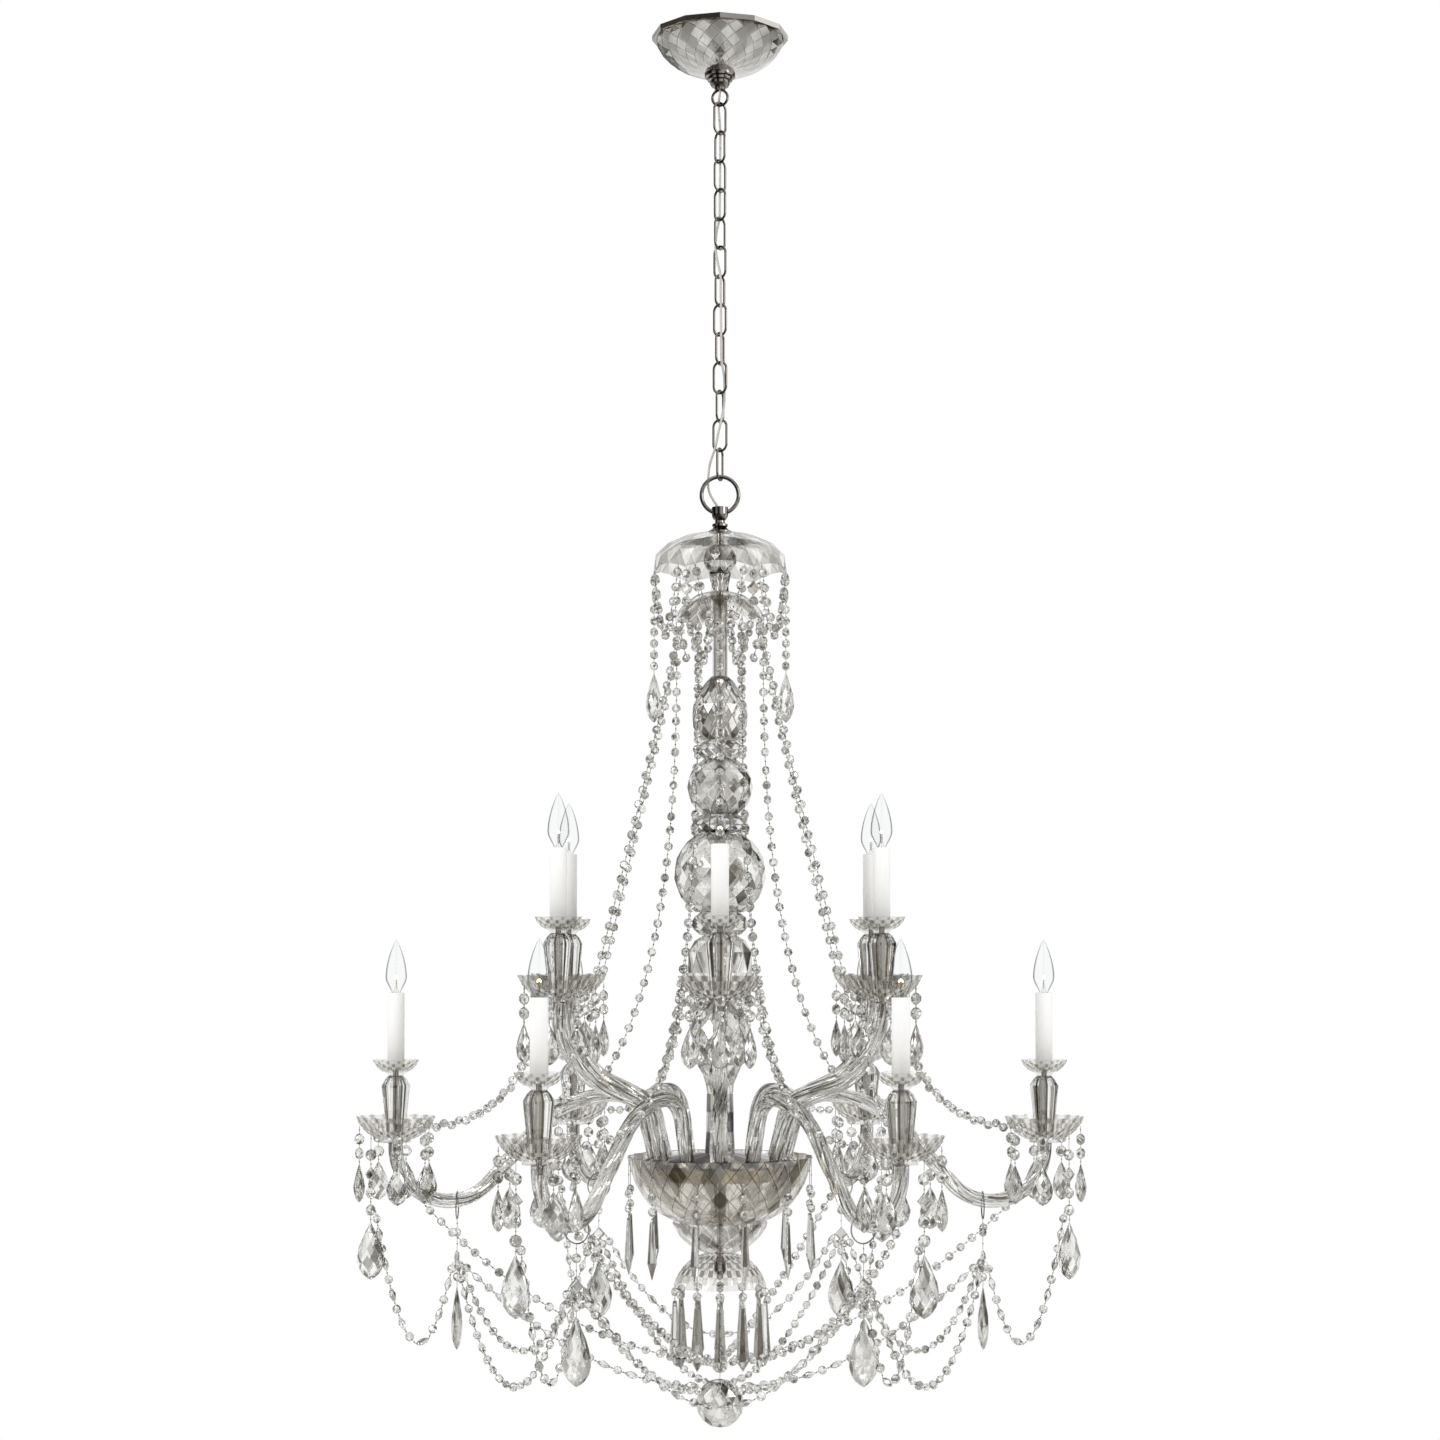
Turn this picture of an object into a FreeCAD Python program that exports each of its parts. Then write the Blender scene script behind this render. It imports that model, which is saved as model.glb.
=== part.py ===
"""A two-tier crystal chandelier with twelve lights, its chain and its ceiling canopy.

Millimetres, +Z up. The origin is the middle of the canopy's top face, on the ceiling.
Azimuth 0 is the front (-Y) and grows towards +X. The lower arms stand at 30, 90, 150 degrees and
so on, the upper arms at 0, 60, 120 degrees and so on.
"""
import FreeCAD
import Part
import Sketcher
import math
import os
import re
from FreeCAD import Placement, Rotation, Vector

doc = FreeCAD.newDocument("Chandelier")
sheet = doc.addObject("Spreadsheet::Sheet", "Sizes")

SIZES = [
    # the ceiling fixing
    ("bar_length", 110), ("bar_width", 20), ("bar_thickness", 2.5),
    ("slot_spacing", 88.9), ("slot_width", 5), ("slot_length", 12),
    ("nipple_radius", 5), ("nipple_bore", 3), ("nipple_plug", 3),
    ("window_top", 11), ("window_height", 22), ("window_width", 5),
    ("locknut_radius", 9), ("locknut_height", 5), ("thread_gap", 0.05),
    # the canopy
    ("plate_corner_radius", 102.5), ("plate_height", 7.5), ("plate_wall", 1.2),
    ("well_radius", 60), ("well_depth", 32),
    ("canopy_dish_radius", 96.5), ("canopy_dish_depth", 50.5), ("canopy_dish_wall", 5),
    ("canopy_foot_radius", 23), ("collar_radius", 23), ("collar_height", 20),
    ("loop_stem_height", 5), ("loop_ring_radius", 11.75), ("loop_wire_radius", 2), ("loop_turn", -14),
    ("nut_radius", 6), ("nut_length", 18), ("nut_spread", 6.5),
    # the chain, the ring and the cord
    ("link_length", 51.2), ("link_width", 25), ("link_wire_radius", 1.8), ("link_slack", 0.3),
    ("link_turn_first", 38), ("link_turn_step", 2.5),
    ("ring_radius", 27.75), ("ring_wire_radius", 3), ("ring_depth_in_finial", 12.3),
    ("cord_radius", 1.85), ("cord_weave_radius", 7.3),
    # the column
    ("pipe_radius", 5), ("pipe_bore", 3), ("pipe_gap", 0.1), ("finial_height", 37.8),
    ("finial_thread", 12.5), ("finial_foot_radius", 17.5), ("finial_knop_radius", 11.75),
    ("finial_waist_radius", 7.2), ("finial_cup_radius", 12.25), ("finial_cup_bore", 8.6),
    ("bell_radius", 101), ("bell_depth", 54), ("bell_tip", 10.5), ("bell_wall", 4.5),
    ("brim_flare", 4), ("boss_fillet", 1.5),
    ("bell_boss_radius", 18), ("bell_boss_height", 20),
    ("neck_ball_radius", 25), ("neck_ball_height", 40.5), ("neck_ball_cap", 15),
    ("neck_taper_top", 17.5), ("neck_taper_bottom", 13), ("neck_taper_height", 28.5),
    ("small_bell_radius", 67.5), ("small_bell_depth", 43), ("small_bell_wall", 4),
    ("small_boss_radius", 14), ("small_boss_height", 12),
    ("fluted_stem_radius", 11), ("fluted_stem_height", 116.2),
    ("egg_radius", 42), ("egg_height", 96), ("egg_belly", 34), ("egg_top", 13), ("egg_bottom", 28),
    ("disc_a_radius", 34.5), ("disc_a_height", 28.5), ("disc_b_radius", 42), ("disc_b_height", 30),
    ("disc_c_radius", 43), ("disc_c_height", 34.5), ("disc_d_radius", 22.5), ("disc_d_height", 15),
    ("ball_radius", 48.5), ("ball_height", 82.5), ("ball_cap", 25.5),
    ("large_ball_radius", 68), ("large_ball_height", 115.5), ("large_ball_cap", 35.9),
    ("vase_radius", 47), ("vase_height", 138), ("vase_belly", 73.5), ("vase_top", 21),
    ("hub_stem_top", 19.5), ("hub_stem_bottom", 22), ("hub_stem_height", 87),
    # the arm hub, the bowl and what hangs below
    ("hub_radius", 117), ("hub_height", 39), ("hub_cavity_radius", 70), ("hub_cavity_top", 22),
    ("hub_cover_thickness", 3), ("hub_cover_ledge", 3), ("hub_shoulder", 8), ("hub_tube_radius", 9), ("hub_tube_length", 58.5),
    ("bowl_radius", 138.5), ("bowl_depth", 97.5), ("bowl_wall", 6), ("bowl_foot", 60),
    ("bowl_ball_radius", 72), ("bowl_ball_height", 45), ("bowl_ball_foot", 24),
    ("lower_bell_radius", 69), ("lower_bell_depth", 49.5), ("lower_bell_wall", 4),
    ("lower_boss_radius", 16), ("lower_boss_height", 12),
    ("bottom_nut_radius", 9), ("bottom_nut_height", 16), ("bottom_nut_floor", 4), ("eye_radius", 4), ("eye_wire", 1),
    ("bottom_ball_radius", 36), ("bottom_ball_drop", 175),
    # the arms, as the centre line walks from its socket in the hub to its dish
    ("arm_radius", 11), ("arm_bore", 4.5), ("arm_gap", 0.1), ("arm_root", 93.5),
    ("arm_socket_floor", 21.5), ("arm_rise", 75), ("arm_bend", 47), ("wire_radius", 1.1),
    ("channel_radius", 4), ("wire_end_inset", 4), ("wire_bend", 8),
    ("lower_rise_run", 70.5), ("lower_hump", 160), ("lower_fall", 48.7), ("lower_fall_run", 102),
    ("lower_bowl", 79), ("lower_end_run", 6),
    ("upper_rise_run", 68.5), ("upper_slope", 21), ("upper_slope_run", 51), ("upper_bow", 127.8),
    ("upper_end_run", 6),
    # one light
    ("seat_height", 2), ("seat_bore", 4.1),
    ("dish_radius", 60), ("dish_height", 38.5), ("dish_foot", 22.5), ("dish_wall", 4),
    ("dish_floor", 7.5), ("hole_radius", 53.6), ("hole_depth", 13.7),
    ("tube_radius", 4), ("tube_bore", 1.8), ("tube_gap", 0.1), ("tube_depth_in_arm", 12),
    ("cup_foot", 13.5), ("cup_shoulder", 21.8), ("cup_neck", 11), ("cup_height", 92),
    ("cup_neck_height", 13), ("cup_edge", 2),
    ("bobeche_radius", 35.3), ("bobeche_height", 23.5), ("bobeche_floor", 8),
    ("sleeve_radius", 12.5), ("sleeve_wall", 1.2), ("sleeve_height", 115),
    ("holder_radius", 10.5), ("holder_height", 32), ("cap_radius", 6), ("cap_height", 27.5),
    ("cap_gap", 0.4), ("cap_floor", 5),
    ("bulb_radius", 15.9), ("bulb_height", 80), ("bulb_neck", 7), ("bulb_wall", 1),
    ("bulb_belly", 24), ("bulb_neck_height", 6), ("bulb_tip", 1.8),
    # the crystals
    ("pin_radius", 0.6), ("hook_gap", 0.3), ("bead_radius", 6.6), ("bead_pitch", 23),
    ("olive_radius", 5.5), ("olive_length", 20), ("pendant_bead", 8.5),
    ("olive_tip", 0.8), ("icicle_bead", 7), ("pin_bite", 1.5),
    ("small_drop_width", 33), ("small_drop_length", 57), ("small_drop_thickness", 17),
    ("long_drop_width", 48), ("long_drop_length", 83), ("long_drop_thickness", 26),
    ("arm_drop_width", 49), ("arm_drop_length", 93), ("arm_drop_thickness", 27),
    ("bell_drop_width", 32), ("bell_drop_length", 74), ("bell_drop_thickness", 24),
    ("diamond_side", 15.5), ("diamond_thickness", 7),
    ("arm_ring_radius", 20), ("arm_ring_wire", 1), ("arm_ring_angle", 9.5),
    ("icicle_length", 84), ("icicle_width", 14), ("prism_length", 96), ("prism_width", 20),
]

for row, (alias, value) in enumerate(SIZES, start=1):
    sheet.set("A%d" % row, alias)
    sheet.set("B%d" % row, str(value))
    sheet.setAlias("B%d" % row, alias)
doc.recompute()


def mm(alias):
    """The value of one size."""
    return float(sheet.get(alias))


def bound(text):
    """An expression in which every size's name points at its cell in the sheet."""
    names = {alias for alias, value in SIZES}
    return re.sub(r"[a-z_]+", lambda word: ("Sizes." if word.group() in names else "") + word.group(), text)


def value_of(text):
    """The number that an expression of sizes gives."""
    return float(sheet.evalExpression(text))


# ---------------------------------------------------------------- ways of making a piece

parts = []


def keep(piece, label):
    """Names a finished sub-part and puts it on the list of files."""
    piece.Label = label
    parts.append(piece)
    return piece


def stand(piece, level):
    """Sets a piece at a height above the origin, given as an expression."""
    piece.setExpression("Placement.Base.z", bound(level))
    return piece


def arc_between(first, last, radius, side):
    """An anticlockwise arc through two points, and whether it runs from the first to the last."""
    chord = last - first
    middle = (first + last) * 0.5
    normal = Vector(chord.y, -chord.x, 0).normalize()
    rise = math.sqrt(max(radius ** 2 - (chord.Length / 2) ** 2, 0))
    centre = middle - normal * rise * side
    angles = [math.atan2(point.y - centre.y, point.x - centre.x) for point in (first, last)]
    forward = side > 0
    low, high = angles if forward else reversed(angles)
    if high < low:
        high += 2 * math.pi
    return Part.ArcOfCircle(Part.Circle(centre, Vector(0, 0, 1), radius), low, high), forward


def outline_sketch(body, name, outline):
    """A closed outline of radius and height. A point may add the radius of the arc that reaches
    it and its side: 1 where the arc bulges to the right of the way it runs, -1 to the left."""
    sketch = body.newObject("Sketcher::SketchObject", name)
    plane = next(item for item in body.Origin.OriginFeatures if item.Role == "XZ_Plane")
    sketch.AttachmentSupport = (plane, [""])
    sketch.MapMode = "FlatFace"
    points = [Vector(value_of(corner[0]), value_of(corner[1]), 0) for corner in outline]
    ends = []
    for index, corner in enumerate(outline):
        first, last = points[index - 1], points[index]
        forward = True
        if len(corner) == 4:
            shape, forward = arc_between(first, last, value_of(corner[2]), corner[3])
        else:
            shape = Part.LineSegment(first, last)
        segment = sketch.addGeometry(shape, False)
        ends.append((segment, 1, 2) if forward else (segment, 2, 1))
        if len(corner) == 4:
            rule = sketch.addConstraint(Sketcher.Constraint("Radius", segment, value_of(corner[2])))
            sketch.setExpression("Constraints[%d]" % rule, bound(corner[2]))
    for index, corner in enumerate(outline):
        segment, start, stop = ends[index]
        following = ends[(index + 1) % len(ends)]
        sketch.addConstraint(Sketcher.Constraint("Coincident", segment, stop, following[0], following[1]))
        for axis, kind, text in ((-2, "DistanceX", corner[0]), (-1, "DistanceY", corner[1])):
            if value_of(text) == 0:
                sketch.addConstraint(Sketcher.Constraint("PointOnObject", segment, stop, axis))
            else:
                number = value_of(text)
                rule = sketch.addConstraint(Sketcher.Constraint(kind, -1, 1, segment, stop, number))
                sketch.setExpression("Constraints[%d]" % rule, bound(text))
    return sketch


def turned(name, outline):
    """A body turned about the upright axis."""
    body = doc.addObject("PartDesign::Body", name)
    sketch = outline_sketch(body, name + "_outline", outline)
    turn = body.newObject("PartDesign::Revolution", name + "_turn")
    turn.Profile = sketch
    turn.ReferenceAxis = (sketch, ["V_Axis"])
    turn.Angle = 360
    return body


def primitive(kind, name, **sizes):
    """A primitive whose properties are expressions of the sizes."""
    piece = doc.addObject("Part::" + kind, name)
    for key, text in sizes.items():
        piece.setExpression(key, bound(text))
    return piece


def cut(name, base, tool):
    piece = doc.addObject("Part::Cut", name)
    piece.Base = base
    piece.Tool = tool
    return piece


def fused(name, pieces):
    piece = doc.addObject("Part::MultiFuse", name)
    piece.Shapes = pieces
    return piece


def feature(name, shape):
    piece = doc.addObject("Part::Feature", name)
    piece.Shape = shape
    return piece


def gathered(name, solids):
    """Separate solids kept together in one sub-part."""
    return feature(name, Part.makeCompound(solids))


def copies(name, master, places):
    """Copies of a master piece, one at each place, as separate solids."""
    doc.recompute()
    solids = []
    for place in places:
        solid = master.Shape.copy()
        solid.Placement = place.multiply(solid.Placement)
        solids += solid.Solids
    return gathered(name, solids)


def belly(radius_step, height_step):
    """The radius of an arc that is upright at one end and ends this far in and this far along."""
    return "(({0}) ^ 2 + ({1}) ^ 2) / (2 * ({0}))".format(radius_step, height_step)


BORE = "pipe_radius + pipe_gap"


def barrel(name, bottom, widest, widest_height, top, height):
    """A bored glass ball, egg or disc: two arcs that meet upright at the widest place."""
    return turned(name, [
        (BORE, "0"),
        (bottom, "0"),
        (widest, widest_height, belly("%s - (%s)" % (widest, bottom), widest_height), 1),
        (top, height, belly("%s - (%s)" % (widest, top), "%s - (%s)" % (height, widest_height)), 1),
        (BORE, height),
    ])


def bell(name, radius, depth, brim, wall, boss_radius, boss_height):
    """A hollow glass bell with a boss on the pipe. Its brim is the straight part of the side."""
    drop = "(%s - %s)" % (depth, brim)
    outer = "((%s - brim_flare - %s) ^ 2 + %s ^ 2) / (2 * %s)" % (radius, boss_radius, drop, drop)
    return turned(name, [
        (radius, "0"),
        ("%s - brim_flare" % radius, brim),
        (boss_radius, depth, outer, 1),
        (BORE, depth),
        (BORE, "%s - %s" % (depth, boss_height)),
        (boss_radius, "%s - %s" % (depth, boss_height)),
        (boss_radius, "%s - %s - boss_fillet" % (depth, wall)),
        ("%s - brim_flare - %s" % (radius, wall), brim, outer, -1),
        ("%s - %s" % (radius, wall), "0"),
    ])


def polar(radius, azimuth, height):
    """A point at a radius and azimuth round the column."""
    angle = math.radians(azimuth)
    return Vector(radius * math.sin(angle), -radius * math.cos(angle), height)


def facing(azimuth, radius=0, height=0):
    """The place at an azimuth whose own X axis points away from the column."""
    return Placement(polar(radius, azimuth, height), Rotation(Vector(0, 0, 1), azimuth - 90))


# ---------------------------------------------------------------- heights of the stacked pieces

CANOPY_FOOT = "plate_height + canopy_dish_depth"
COLLAR_FOOT = CANOPY_FOOT + " + collar_height"
LOOP_CENTRE = COLLAR_FOOT + " + loop_stem_height + loop_ring_radius"
LINK_INSIDE = "link_length - 4 * link_wire_radius"
LINK_PITCH = LINK_INSIDE + " - link_slack"
LINKS = 13
FIRST_LINK = LOOP_CENTRE + " + loop_ring_radius - loop_wire_radius - link_slack + (%s) / 2" % LINK_INSIDE
LAST_LINK = FIRST_LINK + " + %d * (%s)" % (LINKS - 1, LINK_PITCH)
RING_CENTRE = LAST_LINK + " + (%s) / 2 - link_slack + ring_radius - ring_wire_radius" % LINK_INSIDE
FINIAL_TOP = RING_CENTRE + " + ring_radius + ring_wire_radius - ring_depth_in_finial"
COLUMN_TOP = FINIAL_TOP + " + finial_height"

# the pieces on the pipe, from the top, with the length that each takes up
STACK = [
    ("top_bell", "bell_boss_height"),
    ("neck_ball", "neck_ball_height"),
    ("neck_taper", "neck_taper_height"),
    ("small_bell", "small_boss_height"),
    ("fluted_stem", "fluted_stem_height"),
    ("egg_ball", "egg_height"),
    ("disc_a", "disc_a_height"),
    ("upper_ball", "ball_height"),
    ("disc_b", "disc_b_height"),
    ("large_ball", "large_ball_height"),
    ("disc_c", "disc_c_height"),
    ("lower_ball", "ball_height"),
    ("disc_d", "disc_d_height"),
    ("baluster_vase", "vase_height"),
    ("hub_stem", "hub_stem_height"),
    ("arm_hub", "hub_height"),
    ("hub_tube", "hub_tube_length"),
    ("hub_bowl", "bowl_wall"),
    ("bowl_ball", "bowl_ball_height"),
    ("lower_bell", "lower_boss_height"),
]
top_of = {}
foot_of = {}
reached = "-(" + COLUMN_TOP + ")"
for piece_name, piece_height in STACK:
    top_of[piece_name] = reached
    reached += " - " + piece_height
    foot_of[piece_name] = reached
COLUMN_FOOT = reached


# ---------------------------------------------------------------- the ceiling fixing and canopy

def ceiling_crossbar():
    bar = primitive("Box", "bar", Length="bar_length", Width="bar_width", Height="bar_thickness")
    bar.setExpression("Placement.Base.x", bound("-bar_length / 2"))
    bar.setExpression("Placement.Base.y", bound("-bar_width / 2"))
    stand(bar, "-bar_thickness")
    slots = []
    for side in (-1, 1):
        box = primitive("Box", "slot_box", Length="slot_length - slot_width", Width="slot_width",
                        Height="3 * bar_thickness")
        box.setExpression("Placement.Base.x",
                          bound("%d * slot_spacing / 2 - (slot_length - slot_width) / 2" % side))
        box.setExpression("Placement.Base.y", bound("-slot_width / 2"))
        stand(box, "-2 * bar_thickness")
        slots.append(box)
        for end in (-1, 1):
            round_end = primitive("Cylinder", "slot_end", Radius="slot_width / 2",
                                  Height="3 * bar_thickness")
            round_end.setExpression(
                "Placement.Base.x",
                bound("%d * slot_spacing / 2 + %d * (slot_length - slot_width) / 2" % (side, end)))
            stand(round_end, "-2 * bar_thickness")
            slots.append(round_end)
    thread = primitive("Cylinder", "bar_thread", Radius="nipple_radius + thread_gap",
                       Height="bar_thickness * 3")
    stand(thread, "-2 * bar_thickness")
    keep(cut("crossbar", bar, fused("bar_holes", slots + [thread])), "ceiling_crossbar")


def canopy_nipple():
    """A threaded tube, closed at the top, with a window where the cord's wires come out."""
    length = COLLAR_FOOT + " + loop_stem_height"
    rod = primitive("Cylinder", "nipple_rod", Radius="nipple_radius", Height=length)
    stand(rod, "-(%s)" % length)
    bore = primitive("Cylinder", "nipple_hole", Radius="nipple_bore", Height=length + " - nipple_plug")
    stand(bore, "-(%s)" % length)
    window = primitive("Box", "nipple_window", Length="2 * nipple_radius", Width="window_width",
                       Height="window_height")
    window.setExpression("Placement.Base.y", bound("-window_width / 2"))
    stand(window, "-window_top - window_height")
    keep(cut("nipple", rod, fused("nipple_cuts", [bore, window])), "canopy_nipple")
    nut = primitive("Prism", "locknut_blank", Circumradius="locknut_radius", Height="locknut_height")
    nut.Polygon = 6
    stand(nut, "-bar_thickness - locknut_height")
    hole = primitive("Cylinder", "locknut_hole", Radius="nipple_radius + thread_gap",
                     Height="locknut_height")
    stand(hole, "-bar_thickness - locknut_height")
    keep(cut("locknut", nut, hole), "canopy_locknut")


def canopy_plate():
    """A shallow twelve-sided pan, open to the ceiling, with a round well for the wiring."""
    pan = primitive("Prism", "pan", Circumradius="plate_corner_radius", Height="plate_height")
    pan.Polygon = 12
    well = primitive("Cylinder", "well", Radius="well_radius", Height="well_depth")
    hollow = primitive("Prism", "pan_hollow", Circumradius="plate_corner_radius - plate_wall",
                       Height="plate_height")
    hollow.Polygon = 12
    well_hollow = primitive("Cylinder", "well_hollow", Radius="well_radius - plate_wall",
                            Height="well_depth")
    hole = primitive("Cylinder", "plate_hole", Radius="nipple_radius + thread_gap", Height="well_depth")
    stand(pan, "-plate_height")
    stand(well, "-well_depth")
    stand(hollow, "-plate_height + plate_wall")
    stand(well_hollow, "-well_depth + plate_wall")
    stand(hole, "-well_depth - plate_wall")
    keep(cut("plate", fused("plate_blank", [pan, well]),
             fused("plate_cuts", [hollow, well_hollow, hole])), "canopy_plate")


def canopy_dish():
    flank = "canopy_dish_radius - 4"
    dish = turned("canopy_glass", [
        ("nipple_radius + thread_gap", "0"),
        ("canopy_foot_radius", "0"),
        (flank, "canopy_dish_depth - 14", "canopy_dish_radius * 1.05", 1),
        ("canopy_dish_radius", "canopy_dish_depth"),
        ("canopy_dish_radius - canopy_dish_wall", "canopy_dish_depth"),
        (flank + " - canopy_dish_wall", "canopy_dish_depth - 13"),
        ("canopy_foot_radius", "canopy_dish_wall + 1", "canopy_dish_radius * 1.05", -1),
        ("nipple_radius + thread_gap", "canopy_dish_wall + 1"),
    ])
    keep(stand(dish, "-(%s)" % CANOPY_FOOT), "canopy_dish")


def canopy_collar():
    """Stepped nickel washers and a nut, turned as one piece."""
    hole = "nipple_radius + thread_gap"
    collar = turned("collar", [
        (hole, "0"),
        ("collar_radius * 0.55", "0"),
        ("collar_radius * 0.65", "collar_height * 0.2"),
        ("collar_radius * 0.65", "collar_height * 0.4"),
        ("collar_radius * 0.82", "collar_height * 0.45"),
        ("collar_radius * 0.82", "collar_height * 0.65"),
        ("collar_radius", "collar_height * 0.7"),
        ("collar_radius", "collar_height"),
        (hole, "collar_height"),
    ])
    keep(stand(collar, "-(%s)" % COLLAR_FOOT), "canopy_collar")


def canopy_loop():
    stem = primitive("Cylinder", "loop_stem", Radius="loop_ring_radius * 0.68",
                     Height="loop_stem_height")
    stand(stem, "-(%s) - loop_stem_height" % COLLAR_FOOT)
    ring = primitive("Torus", "loop_ring", Radius1="loop_ring_radius", Radius2="loop_wire_radius")
    upright = Rotation(Vector(1, 0, 0), 90)
    ring.Placement.Rotation = Rotation(Vector(0, 0, 1), mm("loop_turn")).multiply(upright)
    stand(ring, "-(%s)" % LOOP_CENTRE)
    thread = primitive("Cylinder", "loop_thread", Radius="nipple_radius + thread_gap",
                       Height="loop_stem_height + loop_wire_radius")
    stand(thread, "-(%s) - loop_stem_height" % COLLAR_FOOT)
    passage = primitive("Cylinder", "loop_passage", Radius="nipple_bore",
                        Height="loop_stem_height + 2 * loop_wire_radius")
    stand(passage, "-(%s) - loop_stem_height - 2 * loop_wire_radius" % COLLAR_FOOT)
    keep(cut("loop", fused("loop_blank", [stem, ring]), fused("loop_cuts", [thread, passage])),
         "canopy_loop")


def canopy_wire_nuts():
    """Two twist-on connectors that lie on the floor of the well."""
    nut = primitive("Cone", "wire_nut", Radius1="nut_radius", Radius2="nut_radius * 0.65",
                    Height="nut_length")
    height = -mm("well_depth") + mm("plate_wall") + mm("nut_radius")
    places = [Placement(Vector(CORD_INNER_END, side * mm("nut_spread"), height),
                        Rotation(Vector(0, 1, 0), 90)) for side in (-1, 1)]
    keep(copies("canopy_nuts", nut, places), "canopy_wire_nuts")


# ---------------------------------------------------------------- chain, cord, ring and finial

def link_blank(name):
    """One chain link standing in the XZ plane round the origin: two bows and two straights."""
    bow_radius = "(link_width / 2 - link_wire_radius)"
    straight = "(link_length - link_width)"
    pieces = []
    for side in (-1, 1):
        bow = primitive("Torus", name + "_bow", Radius1=bow_radius, Radius2="link_wire_radius")
        bow.Angle3 = 180
        bow.Placement.Rotation = Rotation(Vector(1, 0, 0), 90 * side)
        stand(bow, "%d * %s / 2" % (side, straight))
        leg = primitive("Cylinder", name + "_leg", Radius="link_wire_radius", Height=straight)
        leg.setExpression("Placement.Base.x", bound("%d * %s" % (side, bow_radius)))
        stand(leg, "-%s / 2" % straight)
        pieces += [bow, leg]
    return fused(name, pieces)


def link_turn(index):
    """The azimuth of a link's plane from the XZ plane: each stands across the one above it."""
    across = 0 if index % 2 == 0 else -90
    return mm("link_turn_first") + mm("link_turn_step") * index + across


def link_height(index):
    return -value_of(FIRST_LINK) - index * value_of(LINK_PITCH)


def chain():
    """The top and bottom links are sub-parts of their own, because each swings on its neighbour."""
    link = link_blank("link")
    places = [Placement(Vector(0, 0, link_height(index)),
                        Rotation(Vector(0, 0, 1), link_turn(index))) for index in range(LINKS)]
    keep(copies("first_link", link, places[:1]), "chain_top_link")
    keep(copies("links", link, places[1:-1]), "chain_links")
    keep(copies("last_link", link, places[-1:]), "chain_bottom_link")


def filleted_path(points):
    """Straight runs joined by arcs that each use 0.45 of the shorter run beside them."""
    edges = []
    radii = []
    start = points[0]
    for before, corner, after in zip(points, points[1:], points[2:]):
        arriving = corner - before
        leaving = after - corner
        reach = 0.45 * min(arriving.Length, leaving.Length)
        first = corner - arriving.normalize() * reach
        last = corner + leaving.normalize() * reach
        half_turn = arriving.getAngle(leaving) / 2
        radii.append(reach / math.tan(half_turn))
        inward = (leaving - arriving).normalize()
        middle = corner + inward * (radii[-1] / math.cos(half_turn) - radii[-1])
        edges.append(Part.LineSegment(start, first).toShape())
        edges.append(Part.Arc(first, middle, last).toShape())
        start = last
    edges.append(Part.LineSegment(start, points[-1]).toShape())
    return Part.Wire(edges), radii


def pipe_along(path, radius):
    """A round rod along a wire."""
    first = path.OrderedEdges[0]
    start = first.valueAt(first.FirstParameter)
    direction = first.tangentAt(first.FirstParameter)
    if (start - path.OrderedVertexes[0].Point).Length > 1e-6:
        start = first.valueAt(first.LastParameter)
        direction = first.tangentAt(first.LastParameter)
    circle = Part.Wire(Part.makeCircle(radius, start, direction))
    return path.makePipeShell([circle], True, False)


# where the cord's end lies between the two connectors in the well
CORD_INNER_END = 27

# the side of the chain that the cord passes at each joint between links, in quarter turns
CORD_SIDES = [0, 0, 0, 0, 1, 2, 2, 2, 2, 3, 2, 1]


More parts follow.
